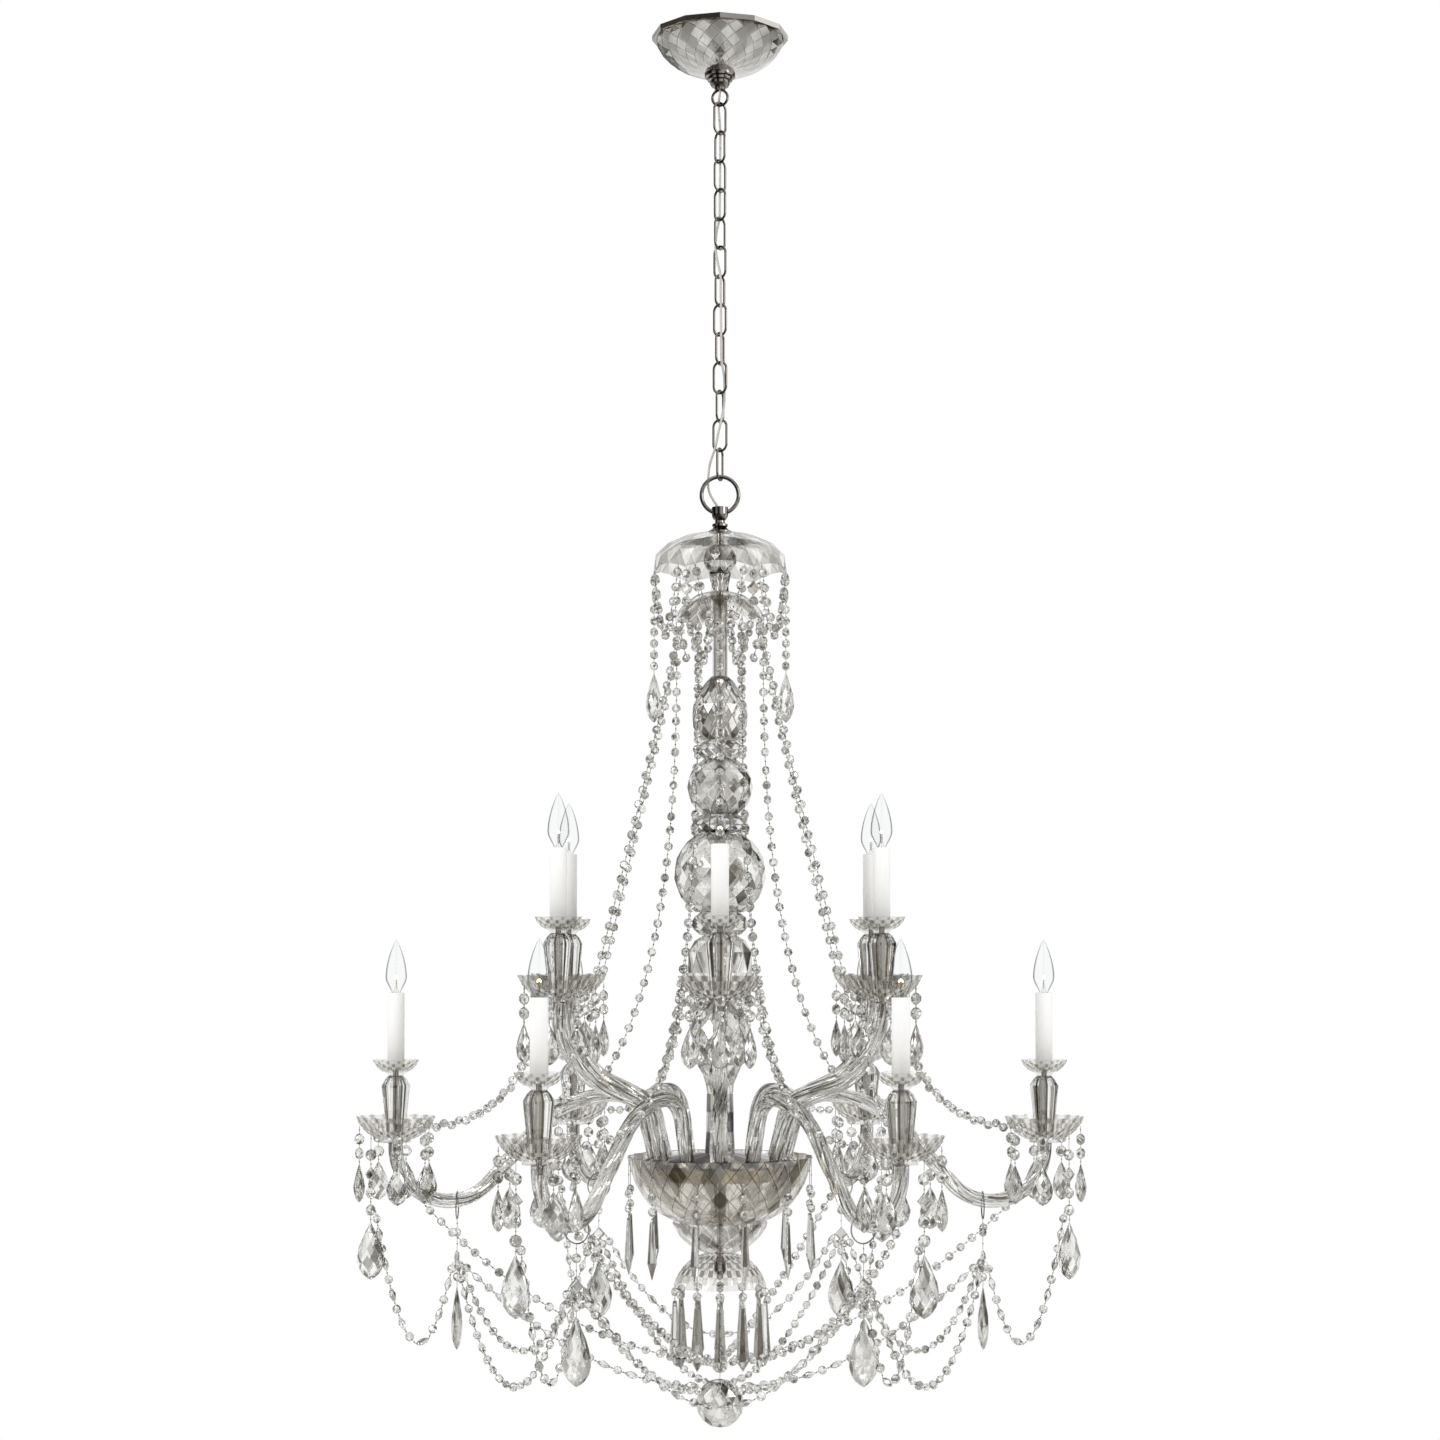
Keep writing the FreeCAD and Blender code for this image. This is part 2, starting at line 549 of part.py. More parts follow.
def cord_points():
    """The cord's route: well, nipple, loop, round and through the links, ring, finial, pipe."""
    weave = mm("cord_weave_radius")
    well_floor = -mm("well_depth") + mm("plate_wall")
    loop_foot = -value_of(LOOP_CENTRE) - mm("loop_ring_radius")
    ring_centre = -value_of(RING_CENTRE)
    finial_top = -value_of(FINIAL_TOP)
    pipe_top = -value_of(COLUMN_TOP) + mm("finial_thread")
    hub_foot = value_of(foot_of["arm_hub"])
    points = [
        Vector(CORD_INNER_END - 0.9, 0, well_floor + 5.2),
        Vector(18, 0.2, well_floor + 8.6),
        Vector(9, 0, well_floor + 9.0),
        Vector(2.6, -0.1, well_floor + 5.2),
        Vector(0.4, 0, well_floor - 3.5),
        Vector(0, 0.3, -value_of(CANOPY_FOOT) + 10),
        Vector(0.3, 0, -value_of(COLLAR_FOOT) + 2),
        Vector(0, 1.2, loop_foot + 19),
    ]
    for index in range(LINKS):
        joint = link_height(index) + value_of(LINK_INSIDE) / 2 + mm("link_wire_radius")
        if index == 0:
            side = 109
        else:
            turn = mm("link_turn_first") + mm("link_turn_step") * index
            side = turn + 45 + 90 * CORD_SIDES[index - 1]
        angle = math.radians(side)
        points.append(Vector(weave * math.cos(angle), weave * math.sin(angle), joint))
        if index:
            before = points[-2]
            between = (before + points[-1]) * 0.5
            reach = math.hypot(between.x, between.y)
            between = Vector(between.x * weave / reach, between.y * weave / reach, between.z)
            points.insert(-1, between)
    points += [
        Vector(-15.5, 7.5, ring_centre + 50),
        Vector(-18.5, 7.8, ring_centre + 24),
        Vector(-17.0, 7.0, ring_centre + 6),
        Vector(-9.5, 6.0, ring_centre - 8),
        Vector(-3.0, 5.7, finial_top + 1.5),
        Vector(-0.3, 5.5, finial_top - 11),
        Vector(0, 0.7, pipe_top + 1),
        Vector(0.2, 0.2, pipe_top - 14),
        Vector(0, 0.1, pipe_top - 50),
    ]
    runs = 16
    for step in range(1, runs + 1):
        sway = 0.25 if step % 2 else -0.2
        height = pipe_top - 50 + (hub_foot + 12 - pipe_top + 50) * step / runs
        points.append(Vector(sway, 0.1 * sway, height))
    return points


def supply_cord():
    path, radii = filleted_path(cord_points())
    print("cord bends, smallest first:", [round(radius, 1) for radius in sorted(radii)[:6]])
    print("cord length:", round(path.Length, 1))
    tube = pipe_along(path, mm("cord_radius"))
    print("cord volume over section times length:",
          round(tube.Volume / (math.pi * mm("cord_radius") ** 2 * path.Length), 4))
    keep(feature("cord", tube), "supply_cord")


def ring_torus(name, wire):
    ring = primitive("Torus", name, Radius1="ring_radius", Radius2=wire)
    ring.Placement.Rotation = Rotation(Vector(1, 0, 0), 90)
    return stand(ring, "-(%s)" % RING_CENTRE)


def ring_and_finial():
    """The ring passes through two holes in the finial's hollow cup."""
    keep(ring_torus("ring", "ring_wire_radius"), "hanging_ring")
    blank = turned("finial_blank", [
        (BORE, "0"),
        ("finial_foot_radius", "0"),
        ("finial_foot_radius", "1.6"),
        ("10", "7.5", "14", -1),
        ("finial_knop_radius", "9"),
        ("finial_knop_radius", "12"),
        ("finial_waist_radius + 0.3", "14"),
        ("finial_waist_radius", "17.5"),
        ("finial_cup_radius", "27", "12", 1),
        ("finial_cup_radius", "finial_height"),
        ("finial_cup_bore", "finial_height"),
        ("finial_cup_bore", "25"),
        ("3.2", "finial_thread + 0.1"),
        (BORE, "finial_thread + 0.1"),
    ])
    stand(blank, "-(%s)" % COLUMN_TOP)
    keep(cut("finial", blank, ring_torus("ring_path", "ring_wire_radius + thread_gap")), "top_finial")


# ---------------------------------------------------------------- the column

def stem_pipe():
    """The hollow rod that carries everything, from the finial to the bottom nut."""
    length = "-(%s) + finial_thread - (%s) + bottom_nut_height" % (COLUMN_TOP, COLUMN_FOOT)
    window_foot = foot_of["arm_hub"] + " + hub_cover_thickness + 1"
    rod = primitive("Cylinder", "pipe_rod", Radius="pipe_radius", Height=length)
    hole = primitive("Cylinder", "pipe_hole", Radius="pipe_bore", Height=length)
    window = primitive("Box", "pipe_window", Length="4 * pipe_radius", Width="2 * wire_radius + 3",
                       Height="hub_cavity_top - hub_cover_thickness - 3")
    window.setExpression("Placement.Base.x", bound("-2 * pipe_radius"))
    window.setExpression("Placement.Base.y", bound("-wire_radius - 1.5"))
    stand(rod, COLUMN_FOOT + " - bottom_nut_height")
    stand(hole, COLUMN_FOOT + " - bottom_nut_height")
    stand(window, window_foot)
    keep(cut("pipe", rod, fused("pipe_cuts", [hole, window])), "stem_pipe")


def top_bell():
    """The wide bell, its brim cut to six tips."""
    blank = bell("top_bell_blank", "bell_radius", "(bell_depth + bell_tip)", "14 + bell_tip",
                 "bell_wall", "bell_boss_radius", "bell_boss_height")
    stand(blank, top_of["top_bell"] + " - bell_depth - bell_tip")
    half_gap = "(bell_radius / 2)"
    scallop = "((%s ^ 2 + bell_tip ^ 2) / (2 * bell_tip))" % half_gap
    cutters = []
    for index in range(6):
        cutter = primitive("Cylinder", "scallop", Radius=scallop, Height="bell_radius")
        cutter.Placement.Rotation = facing(60 * index).Rotation.multiply(Rotation(Vector(0, 1, 0), 90))
        way = polar(1, 60 * index, 0)
        cutter.setExpression("Placement.Base.x", bound("%.6f * bell_radius / 2" % way.x))
        cutter.setExpression("Placement.Base.y", bound("%.6f * bell_radius / 2" % way.y))
        stand(cutter, top_of["top_bell"] + " - bell_depth - %s" % scallop)
        cutters.append(cutter)
    keep(cut("top_bell_cut", blank, fused("scallops", cutters)), "top_bell")


def small_bell():
    shell = bell("small_bell_shell", "small_bell_radius", "small_bell_depth", "7", "small_bell_wall",
                 "small_boss_radius", "small_boss_height")
    keep(stand(shell, top_of["small_bell"] + " - small_bell_depth"), "small_bell")


def tube_piece(name, bottom, top, height):
    return turned(name, [(BORE, "0"), (bottom, "0"), (top, height), (BORE, height)])


def column_glass():
    """The balls, the egg and the vase are sub-parts; the tubes and the discs are two groups."""
    tubes = [
        stand(tube_piece("neck_taper", "neck_taper_bottom", "neck_taper_top", "neck_taper_height"),
              foot_of["neck_taper"]),
        stand(tube_piece("fluted_stem", "fluted_stem_radius", "fluted_stem_radius",
                         "fluted_stem_height"), foot_of["fluted_stem"]),
        stand(tube_piece("hub_stem", "hub_stem_bottom", "hub_stem_top", "hub_stem_height"),
              foot_of["hub_stem"]),
    ]
    discs = []
    for letter in "abcd":
        disc, radius, height = "disc_" + letter, "disc_%s_radius" % letter, "disc_%s_height" % letter
        discs.append(stand(barrel(disc, radius + " * 0.72", radius, height + " / 2",
                                  radius + " * 0.72", height), foot_of[disc]))
    doc.recompute()
    keep(gathered("tubes", [tube.Shape for tube in tubes]), "column_tubes")
    keep(gathered("discs", [disc.Shape for disc in discs]), "column_spacers")
    neck = barrel("neck_ball", "neck_ball_cap", "neck_ball_radius", "neck_ball_height / 2",
                  "neck_ball_cap", "neck_ball_height")
    keep(stand(neck, foot_of["neck_ball"]), "neck_ball")
    egg = barrel("egg", "egg_bottom", "egg_radius", "egg_belly", "egg_top", "egg_height")
    keep(stand(egg, foot_of["egg_ball"]), "egg_ball")
    for name in ("upper_ball", "lower_ball"):
        ball = barrel(name, "ball_cap", "ball_radius", "ball_height / 2", "ball_cap", "ball_height")
        keep(stand(ball, foot_of[name]), name)
    large = barrel("large", "large_ball_cap", "large_ball_radius", "large_ball_height / 2",
                   "large_ball_cap", "large_ball_height")
    keep(stand(large, foot_of["large_ball"]), "large_ball")
    vase = barrel("vase", "hub_stem_top", "vase_radius", "vase_belly", "vase_top", "vase_height")
    keep(stand(vase, foot_of["baluster_vase"]), "baluster_vase")


# ---------------------------------------------------------------- the arm hub and its bowl

def arm_hub():
    """The metal pan that holds the twelve arms, with a cavity for their wires."""
    blank = turned("hub_blank", [
        (BORE, "-hub_tube_length"),
        ("hub_tube_radius", "-hub_tube_length"),
        ("hub_tube_radius", "hub_cavity_top"),
        ("hub_cavity_radius", "hub_cavity_top"),
        ("hub_cavity_radius", "hub_cover_thickness"),
        ("hub_cavity_radius + hub_cover_ledge", "hub_cover_thickness"),
        ("hub_cavity_radius + hub_cover_ledge", "0"),
        ("hub_radius - 16", "0"),
        ("hub_radius", "hub_height / 2"),
        ("hub_radius", "hub_height / 2 + 4"),
        ("hub_radius - 11", "hub_height - hub_shoulder"),
        ("hub_stem_bottom + hub_shoulder", "hub_height"),
        (BORE, "hub_height"),
    ])
    stand(blank, foot_of["arm_hub"])
    doc.recompute()
    foot = value_of(foot_of["arm_hub"])
    rise = math.radians(mm("arm_rise"))
    floor = Vector(mm("arm_root"), 0, mm("arm_socket_floor"))
    up = Vector(math.cos(rise), 0, math.sin(rise))
    socket = Part.makeCylinder(mm("arm_radius") + mm("arm_gap"), mm("hub_height"), floor, up)
    inner_end = Vector(mm("hub_cavity_radius") - mm("wire_end_inset"), 0, mm("hub_cavity_top") / 2 + 1)
    channel = Part.makeCylinder(mm("channel_radius"), (floor - inner_end).Length, inner_end,
                                floor - inner_end)
    well = Part.makeCylinder(mm("channel_radius"), 2 * mm("channel_radius"),
                             floor - up * mm("channel_radius"), up)
    tool = socket.fuse([channel, well])
    holes = []
    for index in range(12):
        hole = tool.copy()
        hole.Placement = facing(30 * index, 0, foot)
        holes.append(hole)
    keep(feature("hub", blank.Shape.cut(holes)), "arm_hub")
    cover = turned("cover", [
        ("hub_tube_radius + pipe_gap", "0"),
        ("hub_cavity_radius + hub_cover_ledge - pipe_gap", "0"),
        ("hub_cavity_radius + hub_cover_ledge - pipe_gap", "hub_cover_thickness"),
        ("hub_tube_radius + pipe_gap", "hub_cover_thickness"),
    ])
    keep(stand(cover, foot_of["arm_hub"]), "hub_cover")
    connector = primitive("Cone", "hub_nut", Radius1="nut_radius * 0.8", Radius2="nut_radius * 0.5",
                          Height="nut_length")
    level = foot + mm("hub_cover_thickness") + 0.8 * mm("nut_radius")
    places = [facing(60 * index + 30, 20, level).multiply(
        Placement(Vector(), Rotation(Vector(0, 1, 0), 90))) for index in range(6)]
    keep(copies("hub_nuts", connector, places), "hub_wire_nuts")


def hub_bowl():
    arc = "((bowl_radius - bowl_foot) ^ 2 + bowl_depth ^ 2) / (2 * (bowl_radius - bowl_foot)) * 1.15"
    bowl = turned("bowl", [
        (BORE, "0"),
        ("bowl_foot", "0"),
        ("bowl_radius", "bowl_depth", arc, 1),
        ("bowl_radius - bowl_wall * 0.7", "bowl_depth"),
        ("bowl_foot", "bowl_wall", arc + " - bowl_wall", -1),
        (BORE, "bowl_wall"),
    ])
    keep(stand(bowl, foot_of["hub_bowl"]), "hub_bowl")
    ball = turned("half_ball", [
        (BORE, "0"),
        ("bowl_ball_foot", "0"),
        ("bowl_ball_radius", "bowl_ball_height",
         belly("bowl_ball_radius - bowl_ball_foot", "bowl_ball_height") + " * 1.02", 1),
        (BORE, "bowl_ball_height"),
    ])
    keep(stand(ball, foot_of["bowl_ball"]), "bowl_ball")


def lower_bell():
    shell = bell("lower_bell_shell", "lower_bell_radius", "lower_bell_depth", "8", "lower_bell_wall",
                 "lower_boss_radius", "lower_boss_height")
    keep(stand(shell, top_of["lower_bell"] + " - lower_bell_depth"), "lower_bell")
    nut = turned("nut_blank", [
        ("0", "0"),
        ("bottom_nut_radius * 0.7", "0"),
        ("bottom_nut_radius", "bottom_nut_floor"),
        ("bottom_nut_radius", "bottom_nut_height + bottom_nut_floor"),
        ("pipe_radius + thread_gap", "bottom_nut_height + bottom_nut_floor"),
        ("pipe_radius + thread_gap", "bottom_nut_floor"),
        ("0", "bottom_nut_floor"),
    ])
    stand(nut, COLUMN_FOOT + " - bottom_nut_height - bottom_nut_floor")
    eye = primitive("Torus", "nut_eye", Radius1="eye_radius", Radius2="eye_wire")
    eye.Placement.Rotation = Rotation(Vector(1, 0, 0), 90)
    stand(eye, COLUMN_FOOT + " - bottom_nut_height - bottom_nut_floor - eye_radius")
    keep(fused("nut_and_eye", [nut, eye]), "bottom_nut")


# ---------------------------------------------------------------- the arms

def walk(start, heading, moves):
    """A path in the XZ plane: runs of a length, and turns of a radius and angle, left being +."""
    edges = []
    point = start
    for radius, amount in moves:
        angle = math.radians(heading)
        ahead = Vector(math.cos(angle), 0, math.sin(angle))
        if radius == 0:
            after = point + ahead * amount
            edges.append(Part.LineSegment(point, after).toShape())
        else:
            side = math.copysign(1, amount)
            left = Vector(-ahead.z, 0, ahead.x) * side
            centre = point + left * radius
            spots = []
            for share in (0.5, 1):
                turn = math.radians(amount * share)
                back = (left * -radius)
                spots.append(centre + Vector(back.x * math.cos(turn) - back.z * math.sin(turn), 0,
                                             back.x * math.sin(turn) + back.z * math.cos(turn)))
            edges.append(Part.Arc(point, spots[0], spots[1]).toShape())
            after = spots[1]
            heading += amount
        point = after
    return Part.Wire(edges), point


def arm_moves(tier):
    """The arm's centre line after its socket."""
    rise = mm("arm_rise")
    if tier == "lower":
        fall = mm("lower_fall")
        return [(0, mm("lower_rise_run")), (mm("arm_bend"), -rise), (mm("lower_hump"), -fall),
                (0, mm("lower_fall_run")), (mm("lower_bowl"), fall + 90), (0, mm("lower_end_run"))]
    slope = mm("upper_slope")
    return [(0, mm("upper_rise_run")), (mm("arm_bend"), slope - rise), (0, mm("upper_slope_run")),
            (mm("upper_bow"), 90 - slope), (0, mm("upper_end_run"))]


def arm_path(tier):
    floor = value_of(foot_of["arm_hub"]) + mm("arm_socket_floor")
    return walk(Vector(mm("arm_root"), 0, floor), mm("arm_rise"), arm_moves(tier))


ARM_AZIMUTHS = {"lower": [30, 90, 150, 210, 270, 330], "upper": [0, 60, 120, 180, 240, 300]}


def arms_and_wires():
    wires = []
    for tier, azimuths in ARM_AZIMUTHS.items():
        path, end = arm_path(tier)
        glass = pipe_along(path, mm("arm_radius")).cut(pipe_along(path, mm("arm_bore")))
        arm = feature(tier + "_arm", glass)
        keep(copies(tier + "_arm_group", arm, [facing(azimuth) for azimuth in azimuths]),
             tier + "_arms")
        # the wire starts in the hub's cavity, bends in its socket and ends at the lamp holder
        inner = Vector(mm("hub_cavity_radius") - mm("wire_end_inset"), 0, mm("hub_cavity_top") / 2 + 1)
        root = Vector(mm("arm_root"), 0, mm("arm_socket_floor"))
        slope = math.degrees(math.atan2(root.z - inner.z, root.x - inner.x))
        turn = mm("arm_rise") - slope
        bend = mm("wire_bend")
        cut_off = bend * math.tan(math.radians(turn / 2))
        foot = value_of(foot_of["arm_hub"])
        start = inner + Vector(0, 0, foot)
        moves = arm_moves(tier)
        moves[0] = (0, moves[0][1] - cut_off)
        moves.pop()
        moves = [(0, (root - inner).Length - cut_off), (bend, turn)] + moves
        wire_path, wire_end = walk(start, slope, moves)
        wire = pipe_along(wire_path, mm("wire_radius"))
        for azimuth in azimuths:
            copy = wire.copy()
            copy.Placement = facing(azimuth)
            wires.append(copy)
    keep(gathered("wires", wires), "arm_wires")


def light_places():
    """The places at the top of every arm, lower tier first."""
    places = []
    for tier, azimuths in ARM_AZIMUTHS.items():
        path, end = arm_path(tier)
        places += [facing(azimuth, end.x, end.z) for azimuth in azimuths]
    return places


# ---------------------------------------------------------------- one light, made twelve times

DISH_RIM = "seat_height + dish_height"
CUP_FOOT = "seat_height + dish_floor"
CUP_TOP = CUP_FOOT + " + cup_height"
SLEEVE_FOOT = CUP_TOP + " + bobeche_floor"
SLEEVE_TOP = SLEEVE_FOOT + " + sleeve_height"
HOLDER_FOOT = SLEEVE_TOP + " - holder_height - 1"


def lights():
    """Each piece is turned once, at its height above the arm's end, and copied to every arm."""
    hole = "tube_radius + tube_gap"
    flank = "((dish_radius - dish_foot) ^ 2 + dish_height ^ 2) ^ 0.5 * 0.97"
    pieces = {}
    pieces["arm_end_seats"] = turned("seat", [
        ("seat_bore", "0"), ("arm_radius", "0"), ("arm_radius", "seat_height"),
        ("seat_bore", "seat_height")])
    pieces["drip_dishes"] = stand(turned("dish", [
        (hole, "0"),
        ("dish_foot", "0"),
        ("dish_foot", "2.2"),
        ("dish_foot - 1.5", "3"),
        ("dish_radius", "dish_height", flank, 1),
        ("dish_radius - dish_wall", "dish_height"),
        ("dish_foot - 3", "dish_floor", flank, -1),
        (hole, "dish_floor"),
    ]), "seat_height")
    pieces["candle_cups"] = stand(turned("cup", [
        (hole, "0"),
        ("cup_foot", "0"),
        ("cup_shoulder", "cup_height - cup_neck_height - cup_edge"),
        ("cup_shoulder", "cup_height - cup_neck_height"),
        ("cup_neck", "cup_height"),
        (hole, "cup_height"),
    ]), CUP_FOOT)
    pieces["candle_bobeches"] = stand(turned("bobeche", [
        (hole, "0"),
        ("cup_neck", "0"),
        ("cup_neck + 3", "5"),
        ("bobeche_radius", "bobeche_height - 4.5", "bobeche_radius * 0.9", 1),
        ("bobeche_radius", "bobeche_height"),
        ("bobeche_radius - 5", "bobeche_height - 2.5"),
        ("sleeve_radius + 2", "bobeche_height - 7"),
        ("sleeve_radius + 0.2", "bobeche_floor"),
        (hole, "bobeche_floor"),
    ]), CUP_TOP)
    pieces["candle_sleeves"] = stand(turned("sleeve", [
        ("sleeve_radius - sleeve_wall", "0"),
        ("sleeve_radius", "0"),
        ("sleeve_radius", "sleeve_height"),
        ("sleeve_radius - sleeve_wall", "sleeve_height"),
    ]), SLEEVE_FOOT)
    stem = "%s + tube_depth_in_arm" % HOLDER_FOOT
    pieces["lamp_holders"] = stand(turned("holder", [
        ("tube_bore", "0"),
        ("tube_radius", "0"),
        ("tube_radius", stem),
        ("holder_radius", stem),
        ("holder_radius", stem + " + holder_height"),
        ("cap_radius + cap_gap", stem + " + holder_height"),
        ("cap_radius + cap_gap", stem + " + cap_floor"),
        ("tube_bore", stem + " + cap_floor"),
    ]), "-tube_depth_in_arm")
    cap_foot = HOLDER_FOOT + " + cap_floor"
    pieces["bulb_caps"] = stand(turned("cap", [
        ("0", "0"),
        ("cap_radius * 0.5", "0"),
        ("cap_radius", "3"),
        ("cap_radius", "cap_height"),
        ("0", "cap_height"),
    ]), cap_foot)
    pieces["bulbs"] = stand(turned("bulb", [
        ("bulb_neck - 2 * bulb_wall", "0"),
        ("bulb_neck - bulb_wall", "0"),
        ("bulb_neck", "bulb_neck_height"),
        ("bulb_radius", "bulb_belly", belly("bulb_radius - bulb_neck", "bulb_belly - bulb_neck_height"), 1),
        ("bulb_tip", "bulb_height - 1",
         belly("bulb_radius - bulb_tip", "bulb_height - 1 - bulb_belly"), 1),
        ("0", "bulb_height"),
        ("0", "bulb_height - 2 - bulb_wall"),
        ("1", "bulb_height - 2 - bulb_wall"),
        ("bulb_radius - bulb_wall", "bulb_belly",
         belly("bulb_radius - bulb_wall - 1", "bulb_height - 2 - bulb_wall - bulb_belly"), -1),
        ("bulb_neck - bulb_wall", "bulb_neck_height",
         belly("bulb_radius - bulb_neck", "bulb_belly - bulb_neck_height"), -1),
    ]), cap_foot + " + cap_height")
    for label, master in pieces.items():
        keep(copies(label + "_group", master, light_places()), label)


# ---------------------------------------------------------------- crystals

def prism_solid(levels, sides, first_angle=0):
    """A faceted crystal from its top to its foot. Each level is a height, half a width and half a
    thickness; a level of no width is a point."""
    rings = []
    for height, half_width, half_thickness in levels:
        if half_width == 0:
            rings.append([Vector(0, 0, height)])
            continue
        corners = []
        for index in range(sides):
            angle = math.radians(first_angle + 360 * index / sides)
            corners.append(Vector(half_thickness * math.cos(angle), half_width * math.sin(angle), height))
        rings.append(corners)
    faces = []
    for ring in (rings[0], rings[-1]):
        if len(ring) > 1:
            faces.append(Part.Face(Part.makePolygon(ring + ring[:1])))
    for upper, lower in zip(rings, rings[1:]):
        for index in range(sides):
            after = (index + 1) % sides
            corners = [upper[index % len(upper)], upper[after % len(upper)],
                       lower[after % len(lower)], lower[index % len(lower)]]
            distinct = [corner for place, corner in enumerate(corners) if corner not in corners[:place]]
            faces.append(Part.Face(Part.makePolygon(distinct + distinct[:1])))
    solid = Part.Solid(Part.Shell(faces))
    if solid.Volume < 0:
        solid.reverse()
    return solid


def drop(length, width, thickness):
    """A pear-shaped crystal that hangs from its narrow top, which is at the origin."""
    shares = [(0, 0.05), (0.1, 0.22), (0.32, 0.66), (0.6, 1), (0.82, 0.84), (0.94, 0.45), (1, 0)]
    levels = [(-length * down, width / 2 * share, thickness / 2 * share) for down, share in shares]
    return prism_solid(levels, 8, 22.5)


def icicle(length, width):
    """A six-sided tapered prism with a pointed foot, hanging from the origin."""
    levels = [(0, width * 0.28, width * 0.28), (-length * 0.8, width / 2, width / 2), (-length, 0, 0)]
    return prism_solid(levels, 6)


def diamond(place):
    side = mm("diamond_side")
    thickness = mm("diamond_thickness")
    box = Part.makeBox(thickness, side, side, Vector(-thickness / 2, -side / 2, -side / 2))
    box.Placement = Placement(place, Rotation(Vector(1, 0, 0), 45))
    return box


def pin(first, last):
    way = last - first
    return Part.makeCylinder(mm("pin_radius"), way.Length, first, way)


def bead(centre, radius, way):
    """A round bead whose seam is turned away from the pins that leave it along a way."""
    side = way.cross(Vector(0, 0, 1))
    if side.Length < 0.1:
        side = way.cross(Vector(0, 1, 0))
    turn = Rotation(side.normalize(), way, Vector(), "YXZ")
    ball = Part.makeSphere(radius)
    ball.Placement = Placement(centre, turn)
    return ball


def olive(centre, way):
    half = way.normalize() * (mm("olive_length") / 2)
    radius = mm("olive_radius")
    tip = mm("olive_tip")
    return [Part.makeCone(tip, radius, half.Length, centre - half, half),
            Part.makeCone(radius, tip, half.Length, centre, half)]


def bow(start, handle, end, share):
    """A point on the curve of a hanging strand."""
    return start * (1 - share) ** 2 + handle * (2 * share * (1 - share)) + end * share ** 2


def strand(start, handle, end, olives=False):
    """A string of beads on wire pins, from one hook to another, as one solid."""
    steps = 200
    curve = [bow(start, handle, end, step / steps) for step in range(steps + 1)]
    lengths = [0]
    for before, after in zip(curve, curve[1:]):
        lengths.append(lengths[-1] + (after - before).Length)
    count = max(2, round(lengths[-1] / mm("bead_pitch")))
    pitch = lengths[-1] / count

    def at(distance):
        index = next(place for place, length in enumerate(lengths) if length >= distance - 1e-9)
        return curve[index]

    centres = [at(pitch * (index + 0.5)) for index in range(count)]
    solids = []
    stops = [(start, 0)]
    for index, centre in enumerate(centres):
        way = (at(pitch * (index + 0.9)) - at(pitch * (index + 0.1))).normalize()
        if olives and index % 2:
            solids += olive(centre, Vector(way))
            stops += [(centre - way * (mm("olive_length") / 2 - 1), 0)]
            stops += [(centre + way * (mm("olive_length") / 2 - 1), 0)]
        else:
            solids.append(bead(centre, mm("bead_radius"), way))
            stops += [(centre, 0.6 * mm("bead_radius"))] * 2
    stops.append((end, 0))
    for (first, shorter), (last, less) in zip(stops[0::2], stops[1::2]):
        way = (last - first).normalize()
        solids.append(pin(first + way * shorter, last - way * less))
    return solids[0].multiFuse(solids[1:]).Solids[0]


def round_copies(solid, azimuths):
    """Copies of a solid turned round the column."""
    turned_copies = []
    for azimuth in azimuths:
        copy = solid.copy()
        copy.rotate(Vector(), Vector(0, 0, 1), azimuth)
        turned_copies.append(copy)
    return turned_copies


EVERY_60 = [60 * index for index in range(6)]


def dish_hole(tier, azimuth, turn, outward=0.0, down=0.0):
    """A point at a hole of a drip dish: turn 0 is the side away from the column."""
    path, end = arm_path(tier)
    reach = mm("hole_radius") + outward
    height = end.z + value_of(DISH_RIM) - mm("hole_depth") - down
    local = Vector(end.x + reach * math.cos(math.radians(turn)), reach * math.sin(math.radians(turn)), 0)
    return Placement(Vector(0, 0, height), Rotation(Vector(0, 0, 1), azimuth - 90)).multVec(local)


def dish_rim(tier, azimuth, turn):
    """A point just outside the rim of a drip dish."""
    outward = mm("dish_radius") + mm("pin_radius") + mm("hook_gap") - mm("hole_radius")
    return dish_hole(tier, azimuth, turn, outward, 4 - mm("hole_depth"))


def small_bell_hook(azimuth):
    height = value_of(top_of["small_bell"]) - mm("small_bell_depth") - mm("hook_gap") - mm("pin_radius")
    return polar(mm("small_bell_radius") - mm("small_bell_wall") / 2, azimuth, height)


def top_bell_hook(azimuth):
    """A point just under the scalloped brim of the top bell, in the middle of its wall."""
    radius = mm("bell_radius") - mm("bell_wall") / 2
    half_gap = mm("bell_radius") / 2
    scallop = (half_gap ** 2 + mm("bell_tip") ** 2) / (2 * mm("bell_tip"))
    lateral = radius * math.sin(math.radians(abs((azimuth + 30) % 60 - 30)))
    brim = scallop - math.sqrt(scallop ** 2 - lateral ** 2)
    height = value_of(top_of["top_bell"]) - mm("bell_depth") - brim - mm("hook_gap") - 0.3
    return polar(radius, azimuth, height)


